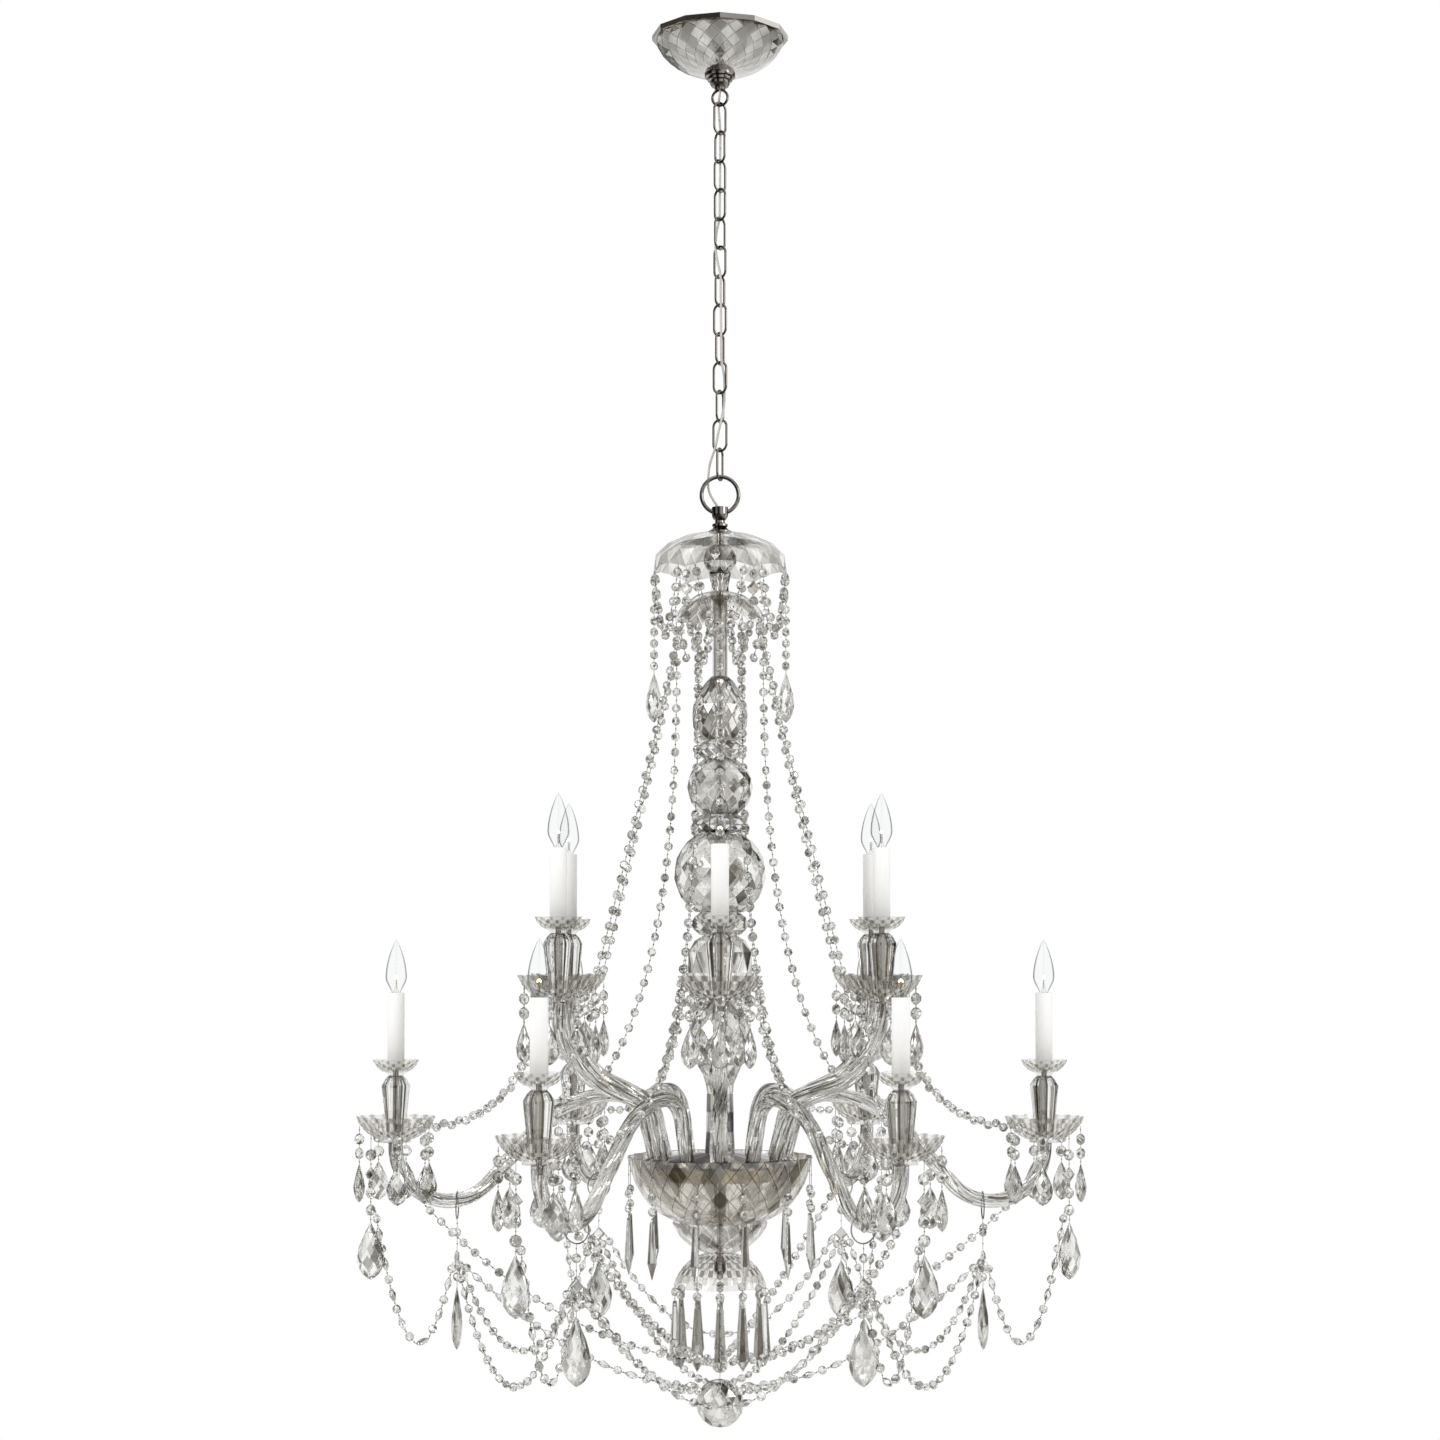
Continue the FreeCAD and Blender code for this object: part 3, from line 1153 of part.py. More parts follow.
def hanging(top, pieces):
    """Pieces on pins one under another. Each is a kind, its distance below the top and a solid or
    a radius; the whole is one solid whose own X axis is the flat side of the drops."""
    solids = []
    reached_down = 0
    for kind, down, item in pieces:
        if kind == "bead":
            solids.append(Part.makeSphere(item, Vector(0, 0, -down)))
            upper, lower = down - item * 0.6, down + item * 0.6
        elif kind == "diamond":
            half = mm("diamond_side") * math.sqrt(0.5)
            solids.append(diamond(Vector(0, 0, -down)))
            upper, lower = down - half + mm("pin_bite"), down + half - mm("pin_bite")
        else:
            item.translate(Vector(0, 0, -down))
            solids.append(item)
            upper, lower = down + mm("pin_bite"), down + mm("pin_bite")
        solids.append(pin(Vector(0, 0, -reached_down), Vector(0, 0, -upper)))
        reached_down = lower
    whole = solids[0].multiFuse(solids[1:]).Solids[0]
    whole.Placement = top
    return whole


def small_pendant(top):
    bead = mm("pendant_bead")
    crystal = drop(mm("small_drop_length"), mm("small_drop_width"), mm("small_drop_thickness"))
    return hanging(top, [("bead", 20, bead), ("bead", 41, bead), ("drop", 57, crystal)])


def long_pendant(top):
    bead = mm("pendant_bead")
    crystal = drop(mm("long_drop_length"), mm("long_drop_width"), mm("long_drop_thickness"))
    return hanging(top, [("bead", 40, bead), ("diamond", 69, None), ("bead", 96, bead),
                         ("bead", 121, bead), ("drop", 140, crystal)])


# turns round a dish, from its outer side, at which its pendants hang
LOWER_TURNS = [0, 55, -55, 100, -100, 150, -150]
UPPER_TURNS = [0, 50, -50, 150, -150]
# the lower dishes at the two sides carry their long pendant nearer the front
LONG_TURN = {90: -55, 270: 55}


def dish_pendants():
    solids = []
    for tier, azimuths in ARM_AZIMUTHS.items():
        turns = LOWER_TURNS if tier == "lower" else UPPER_TURNS
        for azimuth in azimuths:
            for turn in turns:
                top = Placement(dish_hole(tier, azimuth, turn, 0.4, 0.4),
                                Rotation(Vector(0, 0, 1), azimuth - 90 + turn))
                is_long = tier == "lower" and turn == LONG_TURN.get(azimuth, 0)
                solids.append(long_pendant(top) if is_long else small_pendant(top))
    keep(gathered("pendants", solids), "dish_pendants")


def arm_ring_spot():
    """The radius and height of the lower arm's centre line where its wire ring hangs."""
    path, end = arm_path("lower")
    lean = math.radians(mm("arm_ring_angle"))
    centre = Vector(end.x - mm("lower_bowl"), 0, end.z - mm("lower_end_run"))
    return centre + Vector(-math.sin(lean), 0, -math.cos(lean)) * mm("lower_bowl")


RING_DROPS = {"bead": 20, "diamond": 58, "lower_bead": 86}
ARM_DROP_DOWN = 102


def arm_rings():
    """A wire ring on each lower arm, with a bead, a diamond and a bead under it."""
    spot = arm_ring_spot()
    ring_top = spot.z + mm("arm_radius") + mm("arm_ring_wire") + mm("hook_gap")
    centre = Vector(spot.x, 0, ring_top - mm("arm_ring_radius"))
    ring = Part.makeTorus(mm("arm_ring_radius"), mm("arm_ring_wire"), centre, Vector(1, 0, 0))
    foot = centre - Vector(0, 0, mm("arm_ring_radius"))
    chain_below = hanging(Placement(foot, Rotation()), [
        ("bead", RING_DROPS["bead"], mm("bead_radius")),
        ("diamond", RING_DROPS["diamond"], None),
        ("bead", RING_DROPS["lower_bead"], mm("bead_radius")),
    ])
    tail = pin(foot - Vector(0, 0, RING_DROPS["lower_bead"] + 4), foot - Vector(0, 0, ARM_DROP_DOWN - 1))
    whole = ring.multiFuse([chain_below, tail])
    solids = []
    for azimuth in ARM_AZIMUTHS["lower"]:
        copy = whole.copy()
        copy.Placement = facing(azimuth)
        solids.append(copy)
    keep(gathered("ring_strings", solids), "arm_rings")
    for number, azimuth in enumerate(ARM_AZIMUTHS["lower"], start=1):
        crystal = drop(mm("arm_drop_length"), mm("arm_drop_width"), mm("arm_drop_thickness"))
        top = Vector(foot.x, 0, foot.z - ARM_DROP_DOWN + 0.7)
        crystal.Placement = facing(azimuth).multiply(Placement(top, Rotation()))
        keep(feature("crystal_%d" % number, crystal), "arm_drop_%d" % number)
    return foot


def sector_point(radius, azimuth, height, sideways=0.0):
    return Placement(Vector(0, 0, height), Rotation(Vector(0, 0, 1), azimuth - 90)).multVec(
        Vector(radius, sideways, 0))


def column_strands():
    """From the small bell to the upper dishes, and from it to the humps of the lower arms."""
    rim = dish_rim("upper", 0, 180)
    to_dish = strand(small_bell_hook(0), (small_bell_hook(0) + rim) * 0.5 - Vector(0, 0, 20), rim)
    keep(gathered("upper_strings", round_copies(to_dish, EVERY_60)), "upper_strands")
    hump_centre = arm_path("lower")[0].OrderedEdges[2].Curve.Center
    land = 28
    height = hump_centre.z + math.sqrt(mm("lower_hump") ** 2 - land ** 2) + mm("arm_radius")
    end = polar(hump_centre.x + land, 30, height + mm("hook_gap") + mm("pin_radius") + 0.5)
    start = small_bell_hook(30)
    to_arm = strand(start, polar(56, 30, start.z - 530), end)
    keep(gathered("arm_strings", round_copies(to_arm, EVERY_60)), "arm_strands")


def tier_strands():
    """Twelve strands between the dishes of the two tiers."""
    solids = []
    for side in (-1, 1):
        low = dish_hole("lower", 30, 180 + 55 * side, 1)
        high = dish_hole("upper", 30 - 30 * side, 100 * side, 1)
        handle = Vector(high.x, high.y, low.z - 12) * 0.8 + Vector(low.x, low.y, low.z - 12) * 0.2
        solids += round_copies(strand(low, handle, high), EVERY_60)
    keep(gathered("tier_strings", solids), "dish_strands")


def lower_swags(ring_foot):
    """Swags between neighbouring diamonds, from each long pendant to its own diamond, and the
    two sets that meet over the bottom ball."""
    junction = ring_foot.z - RING_DROPS["diamond"]
    half = mm("diamond_side") * math.sqrt(0.5) + mm("hook_gap")
    first = sector_point(ring_foot.x, 30, junction, -half)
    last = sector_point(ring_foot.x, -30, junction, half)
    middle = (first + last) * 0.5 - Vector(0, 0, 324)
    outer = round_copies(strand(first, middle, last, True), EVERY_60)
    for azimuth in ARM_AZIMUTHS["lower"]:
        turn = LONG_TURN.get(azimuth, 0)
        hook = dish_hole("lower", azimuth, turn, -mm("pendant_bead") - 0.8, 121)
        end = sector_point(ring_foot.x + mm("diamond_thickness") / 2 + mm("hook_gap") + 2, azimuth,
                           junction - half / 2)
        low = (hook + end) * 0.5
        swag_middle = Vector(low.x, low.y, low.z - 310)
        outer.append(strand(hook, swag_middle, end, True))
    keep(gathered("outer_strings", outer), "outer_swags")
    ball_top = BALL_CENTRE + mm("bottom_ball_radius")
    start = sector_point(ring_foot.x - mm("diamond_thickness") / 2 - mm("hook_gap") - 1, 30,
                         junction - half / 2)
    end = polar(31, 30, BALL_CENTRE + 26)
    inner = strand(start, polar(190, 30, ball_top - 14), end, True)
    dish_side = dish_hole("lower", 30, 150, 0, 57 + mm("small_drop_length") + 1.2)
    gather = polar(14.5, 52, ball_top + 26)
    upper = strand(dish_side, polar(235, 45, ball_top + 50), gather)
    solids = round_copies(inner, EVERY_60) + round_copies(upper, EVERY_60) + [ball_chain()]
    keep(gathered("bottom_strings", solids), "bottom_swags")
    sphere = primitive("Sphere", "ball", Radius="bottom_ball_radius")
    keep(stand(sphere, BALL_LEVEL), "bottom_ball")


def bell_crystals():
    """Swags under the two bells, and the pendants at the tips of the top bell."""
    first = top_bell_hook(-22)
    last = top_bell_hook(22)
    swag = strand(first, Vector(0, -99, first.z - 180), last)
    near = [small_bell_hook(azimuth) for azimuth in (14, 46)]
    inner = strand(near[0], polar(38, 30, near[0].z - 112), near[1])
    keep(gathered("bell_strings", round_copies(swag, EVERY_60) + round_copies(inner, EVERY_60)),
         "bell_swags")
    bead = mm("bead_radius")
    solids = []
    for azimuth in ARM_AZIMUTHS["lower"]:
        top = Placement(top_bell_hook(azimuth), Rotation(Vector(0, 0, 1), azimuth - 90))
        pieces = [("bead", 10, bead), ("diamond", 31, None)]
        if azimuth in (90, 270):
            pieces += [("bead", 52 + 17 * index, bead) for index in range(6)]
            crystal = drop(mm("bell_drop_length"), mm("bell_drop_width"), mm("bell_drop_thickness"))
            pieces.append(("drop", 148, crystal))
        else:
            pieces += [("bead", 50, bead)]
        solids.append(hanging(top, pieces))
    keep(gathered("bell_pendant_group", solids), "bell_pendants")


def hanging_prisms():
    """Twelve icicles round the hub bowl and twelve prisms round the lower bell, on beads."""
    solids = []
    bowl_rim = value_of(foot_of["hub_bowl"]) + mm("bowl_depth")
    bell_rim = value_of(top_of["lower_bell"]) - mm("lower_bell_depth")
    small = mm("icicle_bead")
    for index in range(12):
        azimuth = 30 * index + 15
        top = facing(azimuth, mm("bowl_radius") + mm("pin_radius") + mm("hook_gap"), bowl_rim - 4)
        crystal = icicle(mm("icicle_length"), mm("icicle_width"))
        solids.append(hanging(top, [("bead", 48, small), ("bead", 70, small), ("drop", 84, crystal)]))
        azimuth = 30 * index
        top = facing(azimuth, mm("lower_bell_radius") - 2, bell_rim - mm("hook_gap"))
        crystal = icicle(mm("prism_length"), mm("prism_width"))
        solids.append(hanging(top, [("bead", 9, small), ("drop", 22, crystal)]))
    keep(gathered("prisms", solids), "hanging_prisms")


def ball_chain():
    """The bead chain from the bottom nut's eye to the bottom ball."""
    nut_foot = value_of(COLUMN_FOOT) - mm("bottom_nut_height") - mm("bottom_nut_floor")
    eye_foot = nut_foot - 2 * mm("eye_radius") - mm("eye_wire")
    top = Vector(0, 0, eye_foot - mm("hook_gap"))
    ball_top = BALL_CENTRE + mm("bottom_ball_radius")
    length = top.z - ball_top
    big = length - 20
    pieces = [("bead", 12 + 18 * index, mm("bead_radius")) for index in range(int((big - 30) / 18) + 1)]
    string = hanging(Placement(top, Rotation()), pieces + [("bead", big, 12)])
    tail = pin(Vector(0, 0, top.z - big - 8), Vector(0, 0, ball_top + mm("hook_gap")))
    return string.fuse(tail).Solids[0]


BALL_LEVEL = COLUMN_FOOT + " - bottom_ball_drop - bottom_ball_radius"
BALL_CENTRE = value_of(BALL_LEVEL)

ceiling_crossbar()
canopy_nipple()
canopy_plate()
canopy_dish()
canopy_collar()
canopy_loop()
canopy_wire_nuts()
chain()
supply_cord()
ring_and_finial()
stem_pipe()
top_bell()
small_bell()
column_glass()
arm_hub()
hub_bowl()
lower_bell()
arms_and_wires()
lights()
dish_pendants()
ring_string_foot = arm_rings()
column_strands()
tier_strands()
lower_swags(ring_string_foot)
bell_crystals()
hanging_prisms()

doc.recompute()
for item in doc.Objects:
    if "Invalid" in item.State or "Error" in item.State:
        raise RuntimeError("%s is not valid: %s" % (item.Name, item.State))
for part in parts:
    if part.Shape.isNull() or not part.Shape.isValid() or not part.Shape.Solids:
        raise RuntimeError("%s has no valid shape" % part.Label)

os.makedirs("parts", exist_ok=True)
for part in parts:
    part.Shape.exportStep("parts/%s.step" % part.Label)
print(len(parts), "sub-parts,", sum(len(part.Shape.Solids) for part in parts), "solids")
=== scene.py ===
"""The looks of a two-tier crystal chandelier: cut glass, faceted beads and drops, nickel and candles."""
import bmesh
import bpy
import math
import random
from mathutils import Matrix, Vector


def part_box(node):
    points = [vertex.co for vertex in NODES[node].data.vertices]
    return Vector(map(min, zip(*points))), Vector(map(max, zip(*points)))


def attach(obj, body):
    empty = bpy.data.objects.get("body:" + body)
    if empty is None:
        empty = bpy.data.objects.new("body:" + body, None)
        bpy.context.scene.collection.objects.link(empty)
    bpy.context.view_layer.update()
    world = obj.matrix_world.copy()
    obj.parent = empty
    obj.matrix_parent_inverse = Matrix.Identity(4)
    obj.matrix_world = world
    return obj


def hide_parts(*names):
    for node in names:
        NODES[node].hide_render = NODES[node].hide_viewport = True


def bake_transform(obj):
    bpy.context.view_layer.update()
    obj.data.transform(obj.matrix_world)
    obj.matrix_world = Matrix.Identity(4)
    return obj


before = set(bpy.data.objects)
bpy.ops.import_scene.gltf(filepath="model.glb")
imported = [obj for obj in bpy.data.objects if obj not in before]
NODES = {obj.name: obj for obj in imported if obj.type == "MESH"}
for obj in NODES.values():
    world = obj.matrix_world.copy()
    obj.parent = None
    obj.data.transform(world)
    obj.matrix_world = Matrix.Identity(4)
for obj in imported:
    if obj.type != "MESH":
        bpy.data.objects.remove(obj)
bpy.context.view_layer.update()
MM = 0.001
dice = random.Random(11)


def linked(name, data):
    """A new object in the scene."""
    made = bpy.data.objects.new(name, data)
    bpy.context.scene.collection.objects.link(made)
    return made


# ---- camera

CAMERA_DISTANCE = 3.9972
CAMERA_HEIGHT = -1.3813
CAMERA_TILT = 1.868
camera_data = bpy.data.cameras.new("camera")
camera_data.sensor_width = 36
camera_data.lens = 66.913
camera_data.shift_y = 0.1
camera_data.clip_end = 60
camera = linked("camera", camera_data)
camera.location = (0, -CAMERA_DISTANCE, CAMERA_HEIGHT)
camera.rotation_euler = (math.radians(90 + CAMERA_TILT), 0, 0)
bpy.context.scene.camera = camera
bpy.context.scene.view_settings.view_transform = "Standard"


# ---- shader maths

class Value:
    """A socket of a node tree, with sums and products written as Python."""

    def __init__(self, tree, socket):
        self.tree = tree
        self.socket = socket

    def maths(self, operation, *values):
        return self.tree.node("Math", {"operation": operation}, values)[0]

    def sine(self):
        return self.maths("SINE", self)

    def held(self, low=0.0, high=1.0):
        """The value, kept between two limits."""
        return self.tree.node("Clamp", {}, [self, low, high])[0]

    def __add__(self, other):
        return self.maths("ADD", self, other)

    def __sub__(self, other):
        return self.maths("SUBTRACT", self, other)

    def __rsub__(self, other):
        return self.maths("SUBTRACT", other, self)

    def __mul__(self, other):
        return self.maths("MULTIPLY", self, other)

    def __pow__(self, other):
        return self.maths("POWER", self, other)

    def __rpow__(self, other):
        return self.maths("POWER", other, self)

    __radd__ = __add__
    __rmul__ = __mul__


class Tree:
    """The node tree of one material, or of the world."""

    def __init__(self, owner):
        owner.use_nodes = True
        self.owner = owner
        self.nodes = owner.node_tree.nodes
        self.links = owner.node_tree.links
        self.nodes.clear()

    def node(self, kind, settings=None, inputs=()):
        """Adds a node, sets it up, feeds its sockets and returns its outputs as values."""
        made = self.nodes.new("ShaderNode" + kind)
        for key, setting in (settings or {}).items():
            if key == "stops":
                ramp = made.color_ramp
                while len(ramp.elements) < len(setting):
                    ramp.elements.new(0.5)
                for element, (position, colour) in zip(ramp.elements, setting):
                    element.position = position
                    element.color = (*colour, 1)
            else:
                setattr(made, key, setting)
        feeds = inputs.items() if isinstance(inputs, dict) else enumerate(inputs)
        for key, feed in feeds:
            if isinstance(feed, Value):
                self.links.new(feed.socket, made.inputs[key])
            else:
                made.inputs[key].default_value = feed
        return [Value(self, socket) for socket in made.outputs if socket.enabled]

    def blend(self, factor, first, second):
        """A mix of two colours."""
        return self.node("Mix", {"data_type": "RGBA"}, {0: factor, 6: first, 7: second})[0]

    def mix(self, factor, first, second):
        """A mix of two shaders."""
        return self.node("MixShader", {}, [factor, first, second])[0]

    def noise(self, scale, detail):
        place = self.node("TexCoord")[3]
        return self.node("TexNoise", {}, {"Vector": place, "Scale": scale, "Detail": detail})[0]

    def edge(self):
        """Towards 1 where a surface turns away."""
        return self.node("LayerWeight", {}, {"Blend": 0.5})[1]

    def around(self, direction):
        """The angle of a direction about the column, and how far it points up."""
        east, north, up = self.node("SeparateXYZ", {}, [direction])
        return self.node("Math", {"operation": "ARCTAN2"}, [north, east])[0], up

    def clear(self, colour):
        return self.node("BsdfTransparent", {}, {"Color": colour})[0]

    def principled(self, **inputs):
        named = {key.replace("_", " "): feed for key, feed in inputs.items()}
        return self.node("BsdfPrincipled", {}, named)[0]

    def finish(self, shader):
        self.node("OutputMaterial", {}, {"Surface": shader})
        return self.owner


def rgb(*channels):
    return (*channels, 1.0)


# ---- glass, metal and plastic

WHITE_GLASS = rgb(0.99, 0.99, 0.985)
# painted shade tones for glass facets and cup strips, and the light and dark colours of the painted
# facet reflections
PAINTED_SHADE_TONE = rgb(0.28, 0.255, 0.195)
CUP_PAINTED_SHADE_TONE = rgb(0.17, 0.15, 0.105)
FACET_BRIGHT = rgb(0.97, 0.96, 0.93)
FACET_DIM = rgb(0.125, 0.111, 0.082)


def facet_tree(name):
    """A new tree with the shade of each facet, a faint streak and the shine of polished facets.
    The facet shades are painted light and shade, and the polished shine is a mirror that they darken."""
    tree = Tree(bpy.data.materials.new(name))
    facet = tree.node("Attribute", {"attribute_name": "facet"})[2]
    # painted reflections: the mirror's colour goes from near white to dark by each facet's painted shade
    polish = tree.principled(Base_Color=tree.blend(facet, FACET_BRIGHT, FACET_DIM), Metallic=1.0,
                             Roughness=0.08)
    return tree, facet, tree.noise(60, 3) - 0.5, polish


def cut_glass(name, painted_shade_share, shine, dim_shine=0.6, index=1.52, painted_dark=PAINTED_SHADE_TONE):
    """Clear lead crystal. Each facet has its own painted shade of grey and its own shine."""
    tree, facet, streak, polish = facet_tree(name)
    edge = tree.edge()
    # painted shade: each facet's grey, and darker where the surface turns away
    shade = facet * painted_shade_share + streak * (0.1 * painted_shade_share) + (edge ** 2) * 0.3
    glass = tree.principled(Base_Color=tree.blend(shade, WHITE_GLASS, painted_dark), Roughness=0.0,
                            IOR=index, Transmission_Weight=1.0)
    return tree.finish(tree.mix((edge ** 3) * 0.3 + (facet * dim_shine + shine), glass, polish))


def thin_glass(name, colour, shine, painted_shade, rim=0.6):
    """The wall of a hollow piece of cut glass, seen through without bending what is behind it."""
    tree, facet, streak, polish = facet_tree(name)
    # painted shade: each facet's see-through colour goes towards the painted shade tone
    through = tree.mix(facet * painted_shade + streak * 0.04, tree.clear(colour), tree.clear(PAINTED_SHADE_TONE))
    share = (tree.edge() ** 2.5) * rim + (facet * 0.12 + shine)
    return tree.finish(tree.mix(share, through, polish))


def blown_glass(name):
    """Thin clear glass with a painted dark outline."""
    tree = Tree(bpy.data.materials.new(name))
    painted_shade = tree.blend(tree.noise(40, 2), rgb(0.13, 0.13, 0.125), rgb(0.16, 0.16, 0.155))
    shine = tree.principled(Base_Color=painted_shade, Metallic=1.0, Roughness=0.05)
    # painted shade: a dark mirror mixed in where the surface turns away draws the outline
    line = tree.node("MapRange", {}, [tree.edge(), 0.42, 0.8, 0.02, 0.8])[0]
    return tree.finish(tree.mix(line, tree.clear(rgb(0.985, 0.99, 0.99)), shine))


def nickel(name, colour, roughness, painted_stripes=0.75, count=5, painted_reflection_below=None):
    """Polished nickel with faint wear, and painted reflections: stripes by the way the surface faces,
    painted shade where it turns away, and where it faces down a painted reflection of the tone below."""
    tree = Tree(bpy.data.materials.new(name))
    wear = tree.noise(90, 4)
    around, up = tree.around(tree.node("NewGeometry")[1])
    # painted reflection stripes round the column
    wave = (around * count + up * 2.5).sine() * 0.9 + 0.45
    painted_dark = (wave * painted_stripes + (tree.edge() ** 2) * 1.2).held()
    # the dark colour of the painted stripes and shade
    deep = rgb(*(channel * 0.07 for channel in colour))
    shade = tree.blend(painted_dark + (wear - 0.5) * 0.1, rgb(*colour), deep)
    if painted_reflection_below:
        shade = tree.blend((up * -2.2).held(0.0, 0.85), shade, rgb(*painted_reflection_below))
    return tree.finish(tree.principled(Base_Color=shade, Metallic=1.0,
                                       Roughness=roughness + wear * (0.5 * roughness)))


def plain(name, colour, roughness, mottle=0.04, coat=0.0):
    """A moulded or coated surface with a fine mottle."""
    tree = Tree(bpy.data.materials.new(name))
    mottling = tree.noise(140, 3)
    deep = rgb(*(channel * (1 - mottle) for channel in colour))
    shade = tree.blend(mottling * mottle * 10, rgb(*colour), deep)
    bump = tree.node("Bump", {}, {"Strength": 0.08, "Distance": 0.0004, "Height": mottling})[0]
    return tree.finish(tree.principled(Base_Color=shade, Roughness=roughness, Coat_Weight=coat,
                                       Normal=bump))


def glowing(name, colour, strength):
    tree = Tree(bpy.data.materials.new(name))
    hot = tree.blend(tree.noise(900, 1), rgb(*colour), rgb(1.0, 0.62, 0.28))
    return tree.finish(tree.principled(Base_Color=rgb(*colour), Emission_Color=hot,
                                       Emission_Strength=strength))


crystal = cut_glass("crystal", 0.5, 0.16, 0.6)
ball_crystal = cut_glass("ball_crystal", 0.4, 0.33, 0.5)
bead_crystal = cut_glass("bead_crystal", 0.55, 0.14, 0.5)
shell_glass = thin_glass("shell_glass", WHITE_GLASS, 0.06, 0.55)
bowl_glass = thin_glass("bowl_glass", rgb(0.93, 0.92, 0.90), 0.1, 0.8)
knob_glass = thin_glass("knob_glass", WHITE_GLASS, 0.08, 0.5)
bell_glass = thin_glass("bell_glass", WHITE_GLASS, 0.04, 0.2, 0.4)
canopy_glass = thin_glass("canopy_glass", WHITE_GLASS, 0.42, 0.3)
cup_glass = cut_glass("cup_glass", 0.1, 0.14, 0.75, 1.4, CUP_PAINTED_SHADE_TONE)
arm_glass = cut_glass("arm_glass", 0.45, 0.2, 0.5, 1.45)
bulb_glass = blown_glass("bulb_glass_clear")
polished_nickel = nickel("polished_nickel", (0.60, 0.565, 0.52), 0.06, 0.9)
plate_nickel = nickel("plate_nickel", (0.74, 0.70, 0.66), 0.08, 0.5, 3)
# its last colour is a painted reflection of a warm brown tone on the pan's downward faces
pan_nickel = nickel("pan_nickel", (0.70, 0.66, 0.60), 0.08, 1.0, 17, (0.46, 0.36, 0.22))
chain_nickel = nickel("chain_nickel", (0.36, 0.33, 0.30), 0.07, 1.0, 2)
wire_nickel = nickel("wire_nickel", (0.45, 0.43, 0.40), 0.2)
zinc = nickel("zinc_plate", (0.56, 0.56, 0.55), 0.3)
brass = nickel("brass_shell", (0.74, 0.6, 0.34), 0.2)
sleeve_white = plain("sleeve_white", (0.90, 0.895, 0.88), 0.45)
cord_silver = plain("cord_silver", (0.46, 0.45, 0.42), 0.25, 0.03, 0.6)
wire_clear = plain("wire_clear", (0.80, 0.79, 0.76), 0.3, 0.05, 0.4)
nut_tan = plain("nut_tan", (0.74, 0.66, 0.5), 0.5)
filament_glow = glowing("filament_glow", (1.0, 0.8, 0.5), 9.0)


# ---- pieces as corners and facets
# From here to the room, lengths are in millimetres.

# painted shade drawn for facets and for lines along the flutes; SOFT_EDGES make the painted edge lines
# fainter
FACET_SHADES = (0.0, 0.0, 0.0, 0.0, 0.0, 0.1, 0.25, 0.5, 1.0)
LINE_SHADES = (0.0, 0.0, 0.0, 0.0, 0.15, 0.4, 1.0)
LINE_BREAKS = 0.12
SOFT_EDGES = (0.07, 0.4)
CORE = 0.3


class Cutting:
    """Corners and facets of a piece, gathered before they become a mesh."""

    def __init__(self):
        self.corners = []
        self.facets = []
        self.shades = {}

    def add(self, other, place=None):
        first, so_far = len(self.corners), len(self.facets)
        self.shades.update((so_far + facet, shade) for facet, shade in other.shades.items())
        self.corners += [place @ corner for corner in other.corners] if place else other.corners
        self.facets += [[first + index for index in facet] for facet in other.facets]
        return self

    def outlined(self, share=0.1, painted_dark=1.0):
        """Splits each facet into a middle and a narrow border in the same plane: painted shade on the
        border above the middle, a painted highlight below.
        """
        edged = Cutting()
        edged.corners = list(self.corners)
        for place, facet in enumerate(self.facets):
            centre = sum((self.corners[index] for index in facet), Vector()) / len(facet)
            first = len(edged.corners)
            edged.corners += [self.corners[index].lerp(centre, share) for index in facet]
            for step, index in enumerate(facet):
                after = (step + 1) % len(facet)
                middle = (self.corners[index] + self.corners[facet[after]]) / 2
                # painted shade on the upper edges, painted highlight on the lower ones
                edged.shades[len(edged.facets)] = painted_dark if middle.z > centre.z else 0.0
                edged.facets.append([index, facet[after], first + after, first + step])
            shade = self.shades.get(place)
            edged.shades[len(edged.facets)] = dice.choice(FACET_SHADES) if shade is None else shade
            edged.facets.append([first + step for step in range(len(facet))])
        return edged

    def object(self, name, material, smooth=False):
        """Makes the mesh object, with a painted shade for each facet, drawn at random where none is
        given.
        """
        mesh = bpy.data.meshes.new(name)
        mesh.from_pydata([corner * MM for corner in self.corners], [], self.facets)
        work = bmesh.new()
        work.from_mesh(mesh)
        bmesh.ops.recalc_face_normals(work, faces=work.faces)
        work.to_mesh(mesh)
        work.free()
        shades = mesh.attributes.new("facet", "FLOAT", "FACE")
        shades.data.foreach_set("value", [self.shades.get(index, dice.choice(FACET_SHADES))
                                          for index in range(len(mesh.polygons))])
        if smooth:
            mesh.polygons.foreach_set("use_smooth", [True] * len(mesh.polygons))
        mesh.materials.append(material)
        return linked(name, mesh)

    def piece(self, name, material, body, slot, replaced=(), smooth=False):
        """Makes the object and lets it ride on its body."""
        made = self.object(name, material, smooth)
        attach(made, body)
        if replaced:
            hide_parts(*replaced)

    def cut_piece(self, node, material, body="fixture", slot="cut_glass"):
        """The piece in the place of one node, and named after it."""
        self.piece(node + "_cut", material, body, slot, [node])


